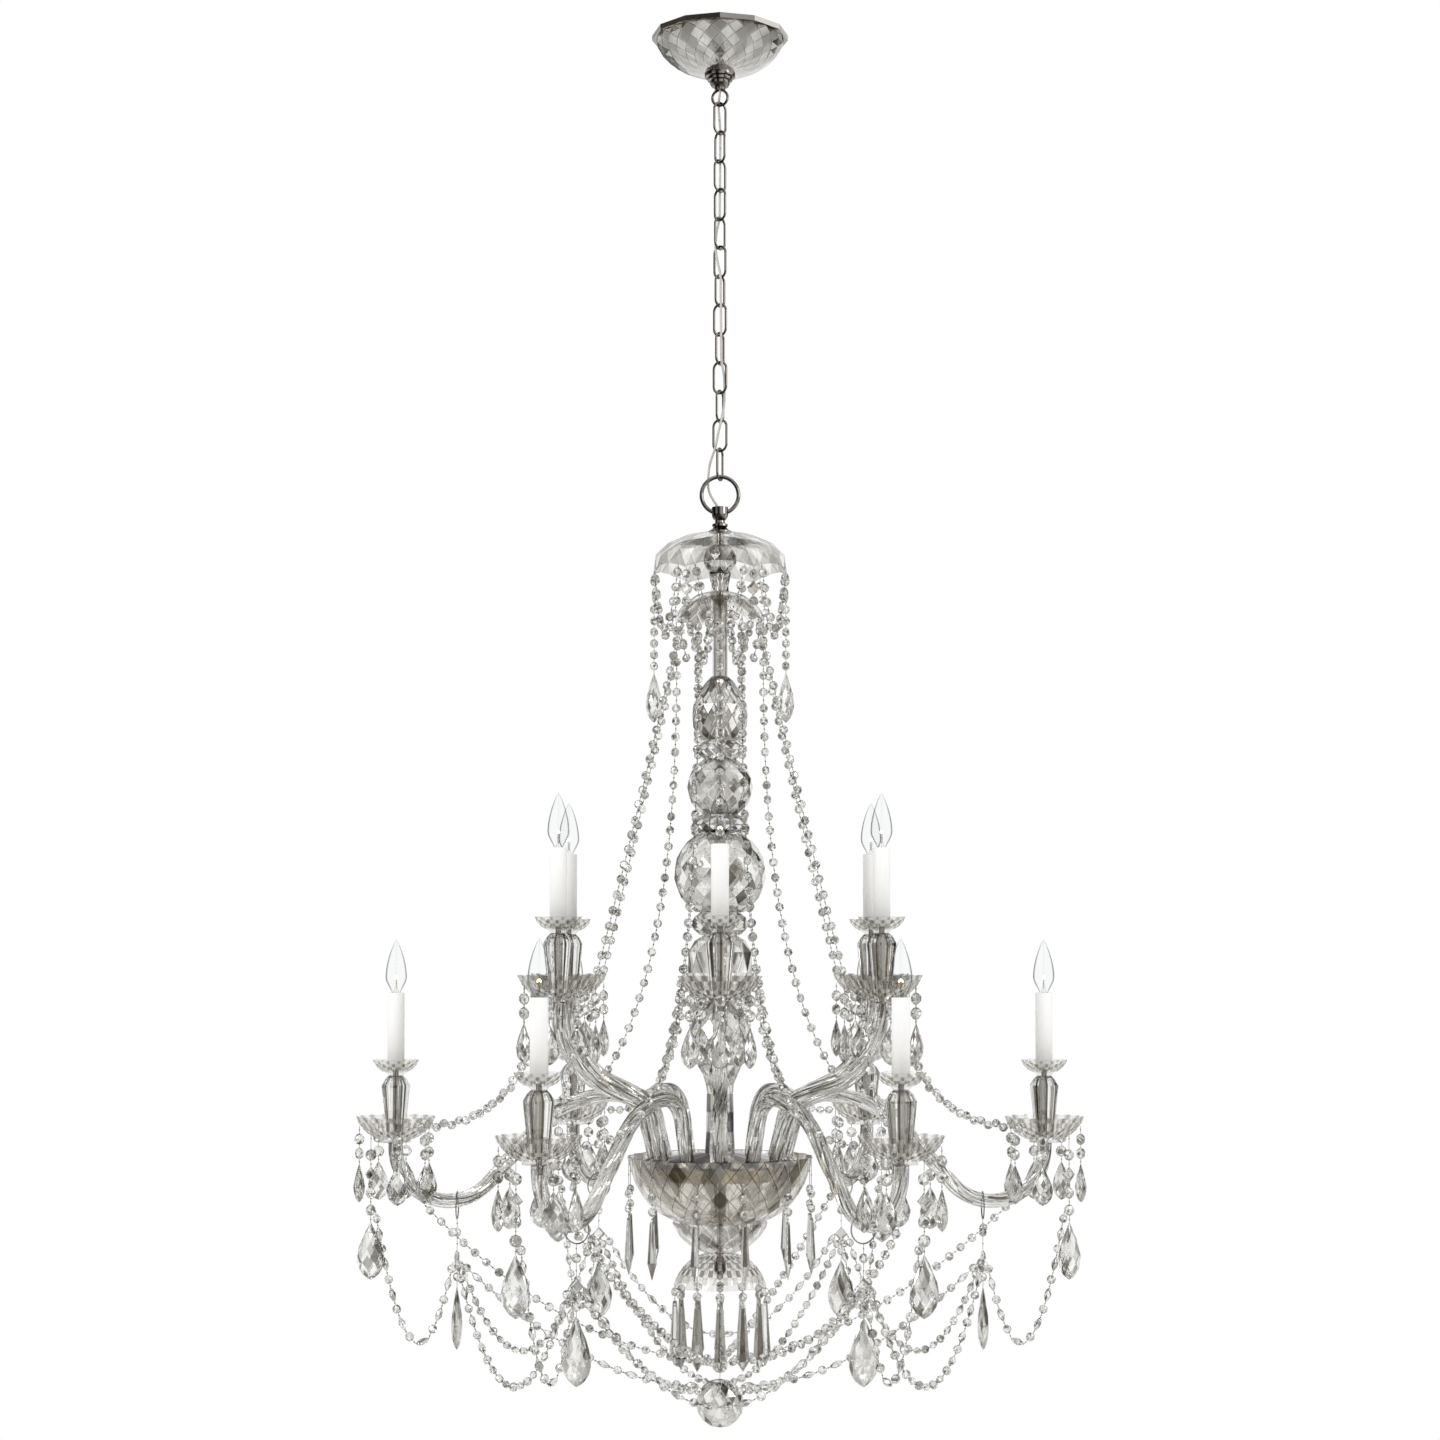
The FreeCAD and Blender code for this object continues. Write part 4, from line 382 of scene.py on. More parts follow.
def harlequin(levels, sides, cut=None, tone=None):
    """A body cut in rows of diamonds. Each level is a height and a radius, or a height, half a
    thickness and half a width. A cut moves the corners, and a tone gives each diamond's painted shade."""
    cutting = Cutting()
    rings = []
    for row, (height, *halves) in enumerate(levels):
        deep, wide = halves[0], halves[-1]
        rings.append([])
        for index in range(sides if wide else 1):
            angle = 2 * math.pi * (index + 0.5 * (row % 2)) / sides
            rings[-1].append(len(cutting.corners))
            corner = Vector((deep * math.cos(angle), wide * math.sin(angle), height))
            cutting.corners.append(cut(row, angle, corner) if cut else corner)

    def at(row, index):
        return rings[row][index % len(rings[row])]

    last = len(rings) - 1
    for row, ring in enumerate(rings):
        if len(ring) == 1:
            continue
        shift = row % 2
        for index in range(sides):
            facet = [at(row, index)]
            if row > 0:
                facet.append(at(row - 1, index + shift))
            facet.append(at(row, index + 1))
            if row < last:
                facet.append(at(row + 1, index + shift))
            if tone:
                cutting.shades[len(cutting.facets)] = tone(row, index)
            cutting.facets.append(facet)
    cutting.facets += [ring for ring in (rings[0], rings[-1]) if len(ring) > 2]
    return cutting


def loft(rings, tone=None, closed=False):
    """Rings of corners joined by four-sided facets, and capped unless the last meets the first."""
    cutting = Cutting()
    count, sides = len(rings), len(rings[0])
    for ring in rings:
        cutting.corners += ring
    for row in range(count if closed else count - 1):
        here, there = row * sides, (row + 1) % count * sides
        for index in range(sides):
            after = (index + 1) % sides
            if tone:
                cutting.shades[len(cutting.facets)] = tone(row, index)
            cutting.facets.append([here + index, here + after, there + after, there + index])
    if not closed:
        cutting.facets += [list(range(first, first + sides)) for first in (0, (count - 1) * sides)]
    return cutting


def circle(sides, deep, wide, height):
    """Corners round an oval at a height."""
    angles = [2 * math.pi * index / sides for index in range(sides)]
    return [Vector((deep * math.cos(angle), wide * math.sin(angle), height)) for angle in angles]


def turned(profile, sides, cut=None, tone=None):
    """A closed outline of radius and height turned about the axis. A cut moves its corners, and a
    tone gives the painted shade of each facet."""
    step = 2 * math.pi / sides
    outlines = []
    for side in range(sides):
        angle = 2 * math.pi * side / sides
        outlines.append([])
        for place, (radius, height) in enumerate(profile):
            if cut:
                radius, height = cut(place, angle, radius, height)
            outlines[-1].append(Vector((radius * math.cos(angle), radius * math.sin(angle), height)))
    shade = (lambda side, place: tone(place + 0.5, (side + 0.5) * step)) if tone else None
    return loft(outlines, shade, closed=True)


def arc_points(first, last, bulge, count):
    """Points from one to another on an arc that stands off its chord by a bulge."""
    (x0, y0), (x1, y1) = first, last
    length = math.hypot(x1 - x0, y1 - y0)
    across = ((y1 - y0) / length, -(x1 - x0) / length)
    points = []
    for step in range(count + 1):
        share = step / count
        off = 4 * bulge * share * (1 - share)
        points.append((x0 + (x1 - x0) * share + across[0] * off,
                       y0 + (y1 - y0) * share + across[1] * off))
    return points


def span(node):
    """A node's foot, top and half width in millimetres."""
    low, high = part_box(node)
    return low.z / MM, high.z / MM, (high.x - low.x) / 2 / MM


def polar(radius, azimuth, height=0.0):
    """The point at a radius and an azimuth, which counts from the front."""
    angle = math.radians(azimuth)
    return Vector((radius * math.sin(angle), -radius * math.cos(angle), height))


def about(azimuth):
    """The turn that brings the X axis to an azimuth."""
    return Matrix.Rotation(math.radians(azimuth - 90), 4, "Z")


def facing(azimuth, radius=0.0, height=0.0):
    """The place at an azimuth whose own X axis points away from the column."""
    return Matrix.Translation(polar(radius, azimuth, height)) @ about(azimuth)


def along(start, way):
    """A place whose own Z axis runs along a way."""
    return Matrix.Translation(start) @ way.to_track_quat("Z", "Y").to_matrix().to_4x4()


def rod(start, end, radius):
    """A thin wire from one point to another."""
    way = end - start
    ends = [circle(6, radius, radius, height) for height in (0.0, way.length)]
    return Cutting().add(loft(ends), along(start, way))


def tube(points, radius, sides, flutes=0, depth=0.0, twist=0.0, closed=False):
    """A tube along points. Flutes are grooves that run along it and twist as they go."""
    rings = []
    last = len(points) - 1
    gone = 0.0
    normal = None
    for index, point in enumerate(points):
        before = points[index - 1] if index or closed else point
        after = points[(index + 1) % len(points)] if index < last or closed else point
        way = (after - before).normalized()
        if normal is None:
            normal = way.orthogonal().normalized()
        normal = (normal - way * normal.dot(way)).normalized()
        side = way.cross(normal)
        if index:
            gone += (point - points[index - 1]).length
        rings.append([])
        for step in range(sides):
            angle = 2 * math.pi * step / sides
            wave = abs(math.sin(flutes * angle / 2)) if flutes else 1.0
            reach = radius * (1 - depth * (1 - wave))
            turn = angle + twist * gone
            rings[-1].append(point + (normal * math.cos(turn) + side * math.sin(turn)) * reach)
    lines = [0.0] * sides

    # painted shade along the flutes: a line keeps its shade for a run and changes now and then
    def line_tone(row, step):
        if row == 0 or dice.random() < LINE_BREAKS:
            lines[step] = dice.choice(LINE_SHADES)
        return lines[step]

    return loft(rings, line_tone if flutes else None, closed)


# ---- the column's glass

DIAMOND_SWELL = 1.01


def ball_levels(radius, height, rows, cap, foot):
    """Levels of a ball between two flat caps."""
    lowest = -math.acos(min(1, cap / radius))
    tall = height / 2 / math.sin(-lowest)
    slopes = [lowest * (1 - 2 * row / rows) for row in range(rows + 1)]
    return [(foot + height / 2 + tall * math.sin(slope), radius * math.cos(slope)) for slope in slopes]


def swollen(node, sides, shares):
    """A body from shares of its node's height and the radius at each."""
    foot, top, _ = span(node)
    return harlequin([(foot + (top - foot) * share, radius) for share, radius in shares], sides)


for node, rows, sides, cap in (("neck_ball", 5, 10, 15), ("upper_ball", 8, 14, 25.5),
                               ("large_ball", 9, 16, 35.9)):
    foot, top, radius = span(node)
    levels = ball_levels(radius * DIAMOND_SWELL, top - foot, rows, cap, foot)
    harlequin(levels, sides).outlined(*SOFT_EDGES).cut_piece(node, ball_crystal)

swollen("lower_ball", 12, [(0, 25.5), (0.12, 38), (0.32, 47.6), (0.7, 48.6), (0.9, 38), (1, 25.5)]
        ).outlined(*SOFT_EDGES).cut_piece("lower_ball", ball_crystal)
swollen("egg_ball", 14, [(0, 29), (0.09, 35), (0.22, 40), (0.38, 42.2), (0.55, 40), (0.7, 34),
                         (0.83, 27), (0.93, 20), (1, 13)]).outlined().cut_piece("egg_ball", crystal)
swollen("baluster_vase", 11, [(0, 19.5), (0.1, 21), (0.2, 26), (0.31, 34), (0.43, 42), (0.56, 47),
                              (0.69, 45), (0.8, 38.5), (0.9, 30), (1, 21)]
        ).outlined(*SOFT_EDGES).cut_piece("baluster_vase", ball_crystal)

DISC_CAP = 0.68
discs = Cutting()
level = span("egg_ball")[0]
# Each disc: the height of the ball above it, its own height, radius, sides and rows.
for ball, height, radius, sides, rows in ((0, 28.5, 34.5, 12, 4), (82.5, 30, 42, 12, 4),
                                          (115.5, 34.5, 43, 12, 4), (82.5, 15, 22.5, 10, 2)):
    level -= ball
    level -= height
    levels = ball_levels(radius * DIAMOND_SWELL, height, rows, radius * DISC_CAP, level)
    discs.add(harlequin(levels, sides))
discs.piece("column_discs_cut", crystal, "fixture", "cut_glass", ["column_spacers"])

tubes = Cutting()
foot = span("small_bell")[1]
tubes.add(harlequin([(foot, 13), (foot + 9, 13.6), (foot + 19, 15.2), (foot + 28.5, 17.6)], 8))
for node, outline, sides in (
        ("egg_ball", [(CORE, 0), (11, 0), (11, 116.2), (CORE, 116.2)], 10),
        ("arm_hub", [(CORE, 0), (22.2, 0), (20.5, 30), (20.2, 60), (19.6, 87), (CORE, 87)], 8)):
    foot = span(node)[1]
    tubes.add(turned([(radius, foot + height) for radius, height in outline], sides))
tubes.cut_piece("column_tubes", crystal)


# ---- bells, bowl and canopy

GROOVE_LEAN = {"dish": 0.9, "bell": 0.5}


def pinwheel(sides, depth, lean, first, last):
    """Two crossing sets of grooves over part of an outline: their cut and their painted shade."""
    def groove(place, angle):
        share = (place - first) / max(1, last - first)
        one = abs(math.sin(sides / 2 * (angle + lean * share)))
        two = abs(math.sin(sides / 2 * (angle - lean * share)))
        return 1 - min(one, two)

    def cut(place, angle, radius, height):
        if first <= place <= last:
            radius *= 1 - depth * groove(place, angle)
        return radius, height

    # painted shade: dark along the grooves, faint elsewhere
    def tone(place, angle):
        return groove(place, angle) ** 3 * 1.3 if first <= place <= last else 0.1

    return cut, tone


def shell(node, material, sides, level, outline, edges=(), body="fixture", cut=None, tone=None):
    """A thick shell cut in diamonds. Its outline of radius and height over a level runs from the
    boss along the outside to the rim, and back inside."""
    levels = [(level + height, radius) for radius, height in outline]
    harlequin(levels, sides, cut, tone).outlined(*edges).cut_piece(node, material, body)


BELL_FOOT, BELL_TOP, BELL_RADIUS = span("top_bell")
BELL_WALL = 4.4
TIP = 10.5


def brim_dip(azimuth, radius, brim_radius):
    """How far the top bell's brim hangs at an azimuth, towards its six tips."""
    scallop = ((brim_radius / 2) ** 2 + TIP ** 2) / (2 * TIP)
    turn = azimuth % 60
    lateral = radius * math.sin(math.radians(min(turn, 60 - turn)))
    return scallop - math.sqrt(max(0, scallop ** 2 - lateral ** 2))


def six_tips(row, angle, corner):
    """The brim's two rings dip to six tips."""
    if row in (4, 5):
        corner.z = BELL_FOOT + TIP - brim_dip(math.degrees(angle) + 90, BELL_RADIUS, BELL_RADIUS)
    return corner


def bell_tone(row, index):
    """Painted shade, dark along the brim, with bright and darker panels above it."""
    return 1.0 if row == 5 else (0.0, 0.35, 0.0, 0.8)[(index + 2 * row) % 4]


def canopy_tone(row, index):
    """Painted shade: every second diamond is darker, more so towards the brim."""
    return 0.09 * row if index % 2 else 0.0


shell("top_bell", bell_glass, 24, BELL_TOP,
      [(18, 0), (52, -7), (80, -19), (97, -36), (BELL_RADIUS, 0), (BELL_RADIUS - BELL_WALL, 0),
       (90, -37), (66, -19), (18, -8), (17, -20)], (0.06,), cut=six_tips, tone=bell_tone)

foot, top, radius = span("small_bell")
shell("small_bell", shell_glass, 14, top,
      [(14, 0), (36, -6), (53, -18), (64, -32), (radius, foot - top), (radius - 4, foot - top),
       (56, -28), (38, -13), (14, -6), (13, -12)])

LOWER_BELL_FOOT, top, radius = span("lower_bell")
WALL, BOSS, BRIM, GROOVES = 4, 16, 8, 26
bulge = (radius - BOSS) * 0.17
shoulder = (radius - 2, LOWER_BELL_FOOT + BRIM)
ceiling = (BOSS, top - WALL - 2)
outer = [(radius, LOWER_BELL_FOOT), shoulder, *arc_points(shoulder, (BOSS, top), bulge, 6)[1:]]
inner = [(CORE, top), (CORE, top - 12), (BOSS, top - 12), ceiling,
         *arc_points(ceiling, (radius - 2 - WALL, LOWER_BELL_FOOT + BRIM - 1), -bulge, 5)[1:],
         (radius - WALL, LOWER_BELL_FOOT)]
turned(outer + inner, GROOVES * 4, *pinwheel(GROOVES, 0.035, GROOVE_LEAN["bell"], 1, len(outer) - 2)
       ).cut_piece("lower_bell", shell_glass)

foot, BOWL_RIM, radius = span("hub_bowl")
height = BOWL_RIM - foot
shell("hub_bowl", bowl_glass, 26, foot,
      [(60, 0), (77, 6), (92, 15), (106, 27), (117, 41), (126, 57), (133, 76), (radius, height),
       (radius - 4.4, height), (125, 72), (100, 36), (60, 6)])

foot, top, radius = span("bowl_ball")
shell("bowl_ball", knob_glass, 16, foot,
      [(24, 0), (37, 5), (49, 13), (60, 24), (68, 36), (radius, top - foot),
       (radius - 6, top - foot), (55, 28), (36, 14), (24, 8)])

foot, top, radius = span("canopy_dish")
shell("canopy_dish", canopy_glass, 24, foot,
      [(23, 0), (38, 2), (51, 6), (63, 11.5), (73, 18), (82, 25.5), (89.5, 34), (94.5, 43),
       (radius, top - foot), (radius - 5, top - foot), (82, 34), (62, 18), (23, 6)],
      body="canopy", tone=canopy_tone)

BALL_FOOT, BALL_TOP, BALL_RADIUS = span("bottom_ball")
harlequin(ball_levels(BALL_RADIUS, 2 * BALL_RADIUS, 8, 1.2, BALL_FOOT), 12).outlined(
    *SOFT_EDGES).cut_piece("bottom_ball", ball_crystal, slot="crystal")


# ---- arms

ARM_RADIUS = 11.0
ARM_SLOPE = 75.0
ARM_ROOT = Vector((93.5, 0, span("arm_hub")[1] - 39 + 21.5))
RISE, BEND, HUMP, DIP, ARM_TIP = 70.5, 47, 160, 79, 6
# Each walk: a bend's radius and turn in degrees, or no radius and a straight length.
ARM_WALKS = {
    "lower": [(0, RISE), (BEND, -75), (HUMP, -48.7), (0, 102), (DIP, 138.7), (0, ARM_TIP)],
    "upper": [(0, 68.5), (BEND, -54), (0, 51), (127.8, 69), (0, ARM_TIP)],
}
AZIMUTHS = {"lower": [30, 90, 150, 210, 270, 330], "upper": [0, 60, 120, 180, 240, 300]}


def arm_line(tier):
    """The arm's centre line in its own upright plane."""
    point = ARM_ROOT
    heading = ARM_SLOPE
    points = [point]
    for radius, amount in ARM_WALKS[tier]:
        length = amount if radius == 0 else abs(math.radians(amount)) * radius
        steps = max(1, round(length / 5))
        turn = 0 if radius == 0 else amount / steps
        chord = length / steps if radius == 0 else 2 * radius * math.sin(abs(math.radians(turn)) / 2)
        for _ in range(steps):
            heading += turn / 2
            way = Vector((math.cos(math.radians(heading)), 0, math.sin(math.radians(heading))))
            point = point + way * chord
            heading += turn / 2
            points.append(point)
    return points


ARM_LINES = {tier: arm_line(tier) for tier in ARM_WALKS}
ARM_ENDS = {tier: line[-1] for tier, line in ARM_LINES.items()}

for tier, line in ARM_LINES.items():
    arm = tube(line, ARM_RADIUS, 30, flutes=10, depth=0.14, twist=0.012)
    group = Cutting()
    for azimuth in AZIMUTHS[tier]:
        group.add(arm, facing(azimuth))
    group.cut_piece(tier + "_arms", arm_glass)


# ---- lights

LIGHTS = [facing(azimuth, ARM_ENDS[tier].x, ARM_ENDS[tier].z)
          for tier in ("lower", "upper") for azimuth in AZIMUTHS[tier]]


def every_light(master):
    """One piece at each of the twelve arm ends. Its heights count from the end of the arm."""
    group = Cutting()
    for place in LIGHTS:
        group.add(master, place)
    return group


def cut_dish(outer, inner, grooves, depth, first, drop):
    """A dish with crossing grooves and a scalloped rim."""
    rim = len(outer) - 1
    groove, tone = pinwheel(grooves, depth, GROOVE_LEAN["dish"], first, rim)

    def cut(place, angle, radius, height):
        radius, height = groove(place, angle, radius, height)
        if place in (rim, rim + 1):
            height -= drop * (1 - abs(math.cos(grooves / 2 * angle))) ** 1.5
        return radius, height

    return turned(outer + inner, 8 * grooves, cut, tone)


SEAT = 2.0
DISH_FLOOR = SEAT + 7.5
DISH_TOP = SEAT + 38.5
DISH_RADIUS = 60
every_light(cut_dish(
    [(CORE, SEAT), (22.5, SEAT), (22.5, SEAT + 2.2), (21, SEAT + 3),
     *arc_points((21, SEAT + 3), (DISH_RADIUS, DISH_TOP), 6.6, 7)[1:]],
    [(56.4, DISH_TOP), *arc_points((56.4, DISH_TOP), (19.5, DISH_FLOOR), -6.6, 6)[1:],
     (CORE, DISH_FLOOR)], 16, 0.055, 4, 2.2)).cut_piece("drip_dishes", shell_glass)

CUP_SIDE = math.pi / 4
# painted shade for the strips of the cups' sides, some dark, most clear
CUP_SHADES = (1.0, 0.0, 0.0, 0.3, 0.0)
CUP_STRIPS = 8 * len(CUP_SHADES)


def cup_sides(place, angle, radius, height):
    """Eight flat sides, each of five strips."""
    half = CUP_SIDE / 2
    return radius * math.cos(half) / math.cos((angle + half) % CUP_SIDE - half), height


def cup_tone(place, angle):
    # painted shade of the strip at this angle
    return CUP_SHADES[int(angle / (2 * math.pi) * CUP_STRIPS) % len(CUP_SHADES)]


every_light(turned([(CORE, 9.5), (13.2, 9.5), (14.2, 11.5), (22.0, 84), (22.0, 87), (16.5, 96),
                    (11.2, 101), (CORE, 101)], CUP_STRIPS, cup_sides, cup_tone)
            ).cut_piece("candle_cups", cup_glass)

CUP_TOP = 101.5
every_light(cut_dish(
    [(CORE, CUP_TOP), (11, CUP_TOP), (14, CUP_TOP + 4),
     *arc_points((14, CUP_TOP + 4), (35.3, CUP_TOP + 23.5), 3.8, 5)[1:]],
    [(32, CUP_TOP + 22.5), *arc_points((32, CUP_TOP + 22.5), (13, CUP_TOP + 8), -3, 4)[1:],
     (CORE, CUP_TOP + 8)], 12, 0.07, 3, 1.4)).cut_piece("candle_bobeches", shell_glass)

SLEEVE_FOOT = CUP_TOP + 8
SLEEVE_TOP = SLEEVE_FOOT + 115
every_light(turned([(11.3, SLEEVE_FOOT), (12.5, SLEEVE_FOOT), (12.5, SLEEVE_TOP - 1),
                    (12.2, SLEEVE_TOP - 0.3), (11.6, SLEEVE_TOP), (11.3, SLEEVE_TOP - 0.6)], 48)).piece(
    "candle_sleeves_round", sleeve_white, "fixture", "white_sleeve", ["candle_sleeves"], smooth=True)

BULB_FOOT = SLEEVE_TOP - 1 - 32 + 5 + 27.5
BULB_HEIGHT, BULB_RADIUS, BULB_NECK = 79.6, 15.8, 6.2
BULB_WAIST, BULB_POINT = 24, 55.8


def bulb_radius(height):
    """The radius of the torpedo-shaped glass at a height above its neck."""
    if height < BULB_WAIST:
        return BULB_NECK + 9.6 * math.sin(height / BULB_WAIST * math.pi / 2) ** 1.4
    share = (height - BULB_WAIST) / BULB_POINT
    return max(0.4, BULB_RADIUS * max(0.0, 1 - share ** 1.75) ** 0.9)


BULB_STEPS = [BULB_HEIGHT * (1 - math.cos(math.pi * step / 44)) / 2 for step in range(45)]
every_light(turned([(bulb_radius(height), BULB_FOOT + height) for height in BULB_STEPS]
                   + [(CORE, BULB_FOOT + 79), (CORE, BULB_FOOT)], 40)).piece(
    "bulb_glasses", bulb_glass, "fixture", "bulb_glass", ["bulbs"], smooth=True)

STEM = BULB_FOOT + 0.5
every_light(turned([(0.2, STEM), (4.6, STEM), (2.6, STEM + 5), (1.5, STEM + 11), (2.0, STEM + 14),
                    (0.2, STEM + 15)], 16)).piece("bulb_stems", bulb_glass, "fixture", "bulb_glass",
                                                  smooth=True)
wires = Cutting()
for side in (-1, 1):
    wires.add(rod(Vector((0, side * 1.2, STEM + 6)), Vector((0, side * 3.2, STEM + 21)), 0.3))
wires.add(rod(Vector((0, 0, STEM + 14)), Vector((0, 0, STEM + 23)), 0.25))
every_light(wires).piece("bulb_wires", brass, "fixture", "brass_cap")

FILAMENT_TURNS, FILAMENT_COIL = 40, 0.9
filament = []
for step in range(41):
    share = step / 40
    bend = share * FILAMENT_TURNS
    filament.append(Vector((
        FILAMENT_COIL * math.sin(bend), (share - 0.5) * 6.4,
        BULB_FOOT + 21.5 + 2.6 * math.sin(math.pi * share) + FILAMENT_COIL * math.cos(bend))))
every_light(tube(filament, 0.42, 6)).piece("bulb_filaments", filament_glow, "fixture", "brass_cap")


# ---- beads, drops and prisms

def lens_bead(radius, thickness):
    """A round bead with a flat table on each face, standing in the YZ plane."""
    shares = [(-1, 0.5), (-0.55, 0.87), (0, 1), (0.55, 0.87), (1, 0.5)]
    flat = harlequin([(thickness / 2 * along, radius * out) for along, out in shares], 8)
    return Cutting().add(flat, Matrix.Rotation(math.radians(90), 4, "Y"))


def olive_bead(length, radius):
    half = length / 2
    return harlequin([(-half, 1.2), (-half * 0.6, radius * 0.62), (-half * 0.15, radius),
                      (half * 0.35, radius * 0.85), (half * 0.8, radius * 0.4), (half, 1.0)], 7)


def pear(length, width, thickness, sides=10):
    """A pear-shaped drop cut in diamonds, hanging from the origin."""
    shares = [(0, 0.05), (0.07, 0.2), (0.17, 0.40), (0.3, 0.64), (0.44, 0.85), (0.58, 0.98),
              (0.7, 0.96), (0.81, 0.82), (0.9, 0.58), (0.96, 0.3), (1, 0)]
    return harlequin([(-length * down, thickness / 2 * share, width / 2 * share)
                      for down, share in shares], sides)


def diamond(half, thickness):
    """A square crystal hung by its corner, with bevelled edges."""
    table = half * 0.62
    rings = [circle(4, reach, reach, height) for height, reach in (
        (-thickness / 2, table), (-thickness / 6, half), (thickness / 6, half), (thickness / 2, table))]
    return loft([[Vector((corner.z, corner.x, corner.y)) for corner in ring] for ring in rings])


# painted shade for the prisms' sides, some light and some dark
PRISM_SHADES = (0.0, 1.0, 0.1, 0.0, 0.85, 0.3)
PRISM_FLATNESS = 0.86


def prism(length, width, top_share, shoulder):
    """A long six-sided prism that widens to its shoulder and ends in a point."""
    levels = [(0, width / 2 * top_share * 0.8), (-length * 0.04, width / 2 * top_share),
              (-length * shoulder, width / 2), (-length, 0.4)]
    return loft([circle(6, PRISM_FLATNESS * wide, wide, height) for height, wide in levels],
                lambda row, index: PRISM_SHADES[(index + 2 * row) % len(PRISM_SHADES)])


# Each crystal: its cutting, and half its height with the eyes of its pins.
HALF_DIAMOND = 15.5 * math.sqrt(0.5)
BEAD = (lens_bead(6.9, 10.4), 6.4)
OLIVE = (olive_bead(21, 5.4), 10)
PENDANT_BEAD = (lens_bead(8.8, 12), 8.5)
PRISM_BEAD = (lens_bead(7, 10), 6.6)
DIAMOND = (diamond(HALF_DIAMOND, 7), HALF_DIAMOND)
BELL_PEAR = (pear(74, 32, 24), 0)
SMALL_PEAR = (pear(57, 33, 17), 0)
LONG_PEAR = (pear(83, 46, 24), 0)
BOWL_PRISM = (prism(84, 14, 0.5, 0.72), 0)
BELL_PRISM = (prism(96, 20, 0.42, 0.84), 0)
ROUND_BALL = (harlequin(ball_levels(12, 24, 6, 1, -12), 10), 12)

BEAD_PITCH = 23
PIN_RADIUS, EYE_RADIUS, EYE_REACH = 0.42, 0.35, 1.1


def down(length):
    return Vector((0, 0, -length))


def bow(start, handle, end, share):
    """The point at a share of a curve that bows towards its handle."""
    return start * (1 - share) ** 2 + handle * (2 * share * (1 - share)) + end * share ** 2


def link_wire(start, end):
    """The bent pin between two crystals, with an eye in its middle."""
    wire = rod(start, end, PIN_RADIUS)
    way = end - start
    if way.length > 5:
        across = way.orthogonal().normalized()
        eye = []
        for step in range(8):
            angle = math.pi / 4 * step
            turn = way.normalized() * math.cos(angle) + across * math.sin(angle)
            eye.append((start + end) / 2 + turn * EYE_REACH)
        wire.add(tube(eye, EYE_RADIUS, 5, closed=True))
    return wire


def strand(start, handle, end, olives=False):
    """The beads and the wire of one strand, as two cuttings."""
    steps = 200
    curve = [bow(start, handle, end, step / steps) for step in range(steps + 1)]
    lengths = [0.0]
    for before, after in zip(curve, curve[1:]):
        lengths.append(lengths[-1] + (after - before).length)
    count = max(2, round(lengths[-1] / BEAD_PITCH))
    pitch = lengths[-1] / count

    def at(distance):
        wanted = min(distance, lengths[-1]) - 1e-9
        return curve[next(place for place, length in enumerate(lengths) if length >= wanted)]

    beads, wire = Cutting(), Cutting()
    stop = start
    for index in range(count):
        centre = at(pitch * (index + 0.5))
        way = (at(pitch * (index + 0.9)) - at(pitch * (index + 0.1))).normalized()
        bead, half = OLIVE if olives and index % 2 else BEAD
        spin = Matrix.Rotation(dice.uniform(0, 2 * math.pi), 4, "Z")
        beads.add(bead, along(centre, way) @ spin)
        wire.add(link_wire(stop, centre - way * half))
        stop = centre + way * half
    wire.add(link_wire(stop, end))
    return beads, wire


class Hangings:
    """Crystals and wires of one node, gathered and then made into two pieces."""

    def __init__(self):
        self.crystals = Cutting()
        self.wires = Cutting()

    def strand(self, start, handle, end, olives=False, azimuths=range(0, 360, 60)):
        for azimuth in azimuths:
            turn = Matrix.Rotation(math.radians(azimuth), 4, "Z")
            beads, wire = strand(turn @ start, turn @ handle, turn @ end, olives)
            self.crystals.add(beads)
            self.wires.add(wire)

    def hang(self, top, pieces, loose=0.35):
        """Crystals under one another, each at its distance down. The last one, of no half height,
        is turned by up to a loose angle."""
        reached = 0.0
        for (cutting, half), deep in pieces:
            most = loose if half == 0 else 0.5
            spin = Matrix.Identity(4)
            if half < 9:
                spin = Matrix.Rotation(dice.uniform(-most, most), 4, "Z")
            self.crystals.add(cutting, top @ Matrix.Translation(down(deep)) @ spin)
            self.wires.add(link_wire(top @ down(reached), top @ down(deep - half)))
            reached = deep + half

    def pieces(self, node):
        self.crystals.piece(node + "_crystals", bead_crystal, "fixture", "crystal", [node])
        self.wires.piece(node + "_wires", wire_nickel, "fixture", "nickel")


# ---- where the crystals hang

HOOK = 0.3
SMALL_BELL_FOOT = span("small_bell")[0]
HOLE, HOLE_DOWN = 53.6, 13.7
LONG_TURN = {90: -55, 270: 55}
BRIM_RADIUS, BRIM_DOWN = 101, 54
# How far each kind of strand's handle hangs below its ends.
UPPER_DROOP, ARM_DROOP, SWAG_DROOP, SIDE_SWAG_DROOP = 20, 530, 324, 310
TOP_BELL_DROOP, SMALL_BELL_DROOP = 180, 112


def small_bell_hook(azimuth):
    return polar(65.5, azimuth, SMALL_BELL_FOOT - HOOK - 0.6)


def top_bell_hook(azimuth):
    """In the middle of the brim's wall."""
    radius = BRIM_RADIUS - 2.25
    dip = brim_dip(azimuth, radius, BRIM_RADIUS)
    return polar(radius, azimuth, BELL_TOP - BRIM_DOWN - dip - HOOK - 0.3)


def sector_point(radius, azimuth, height, sideways=0.0):
    return about(azimuth) @ Vector((radius, sideways, height))


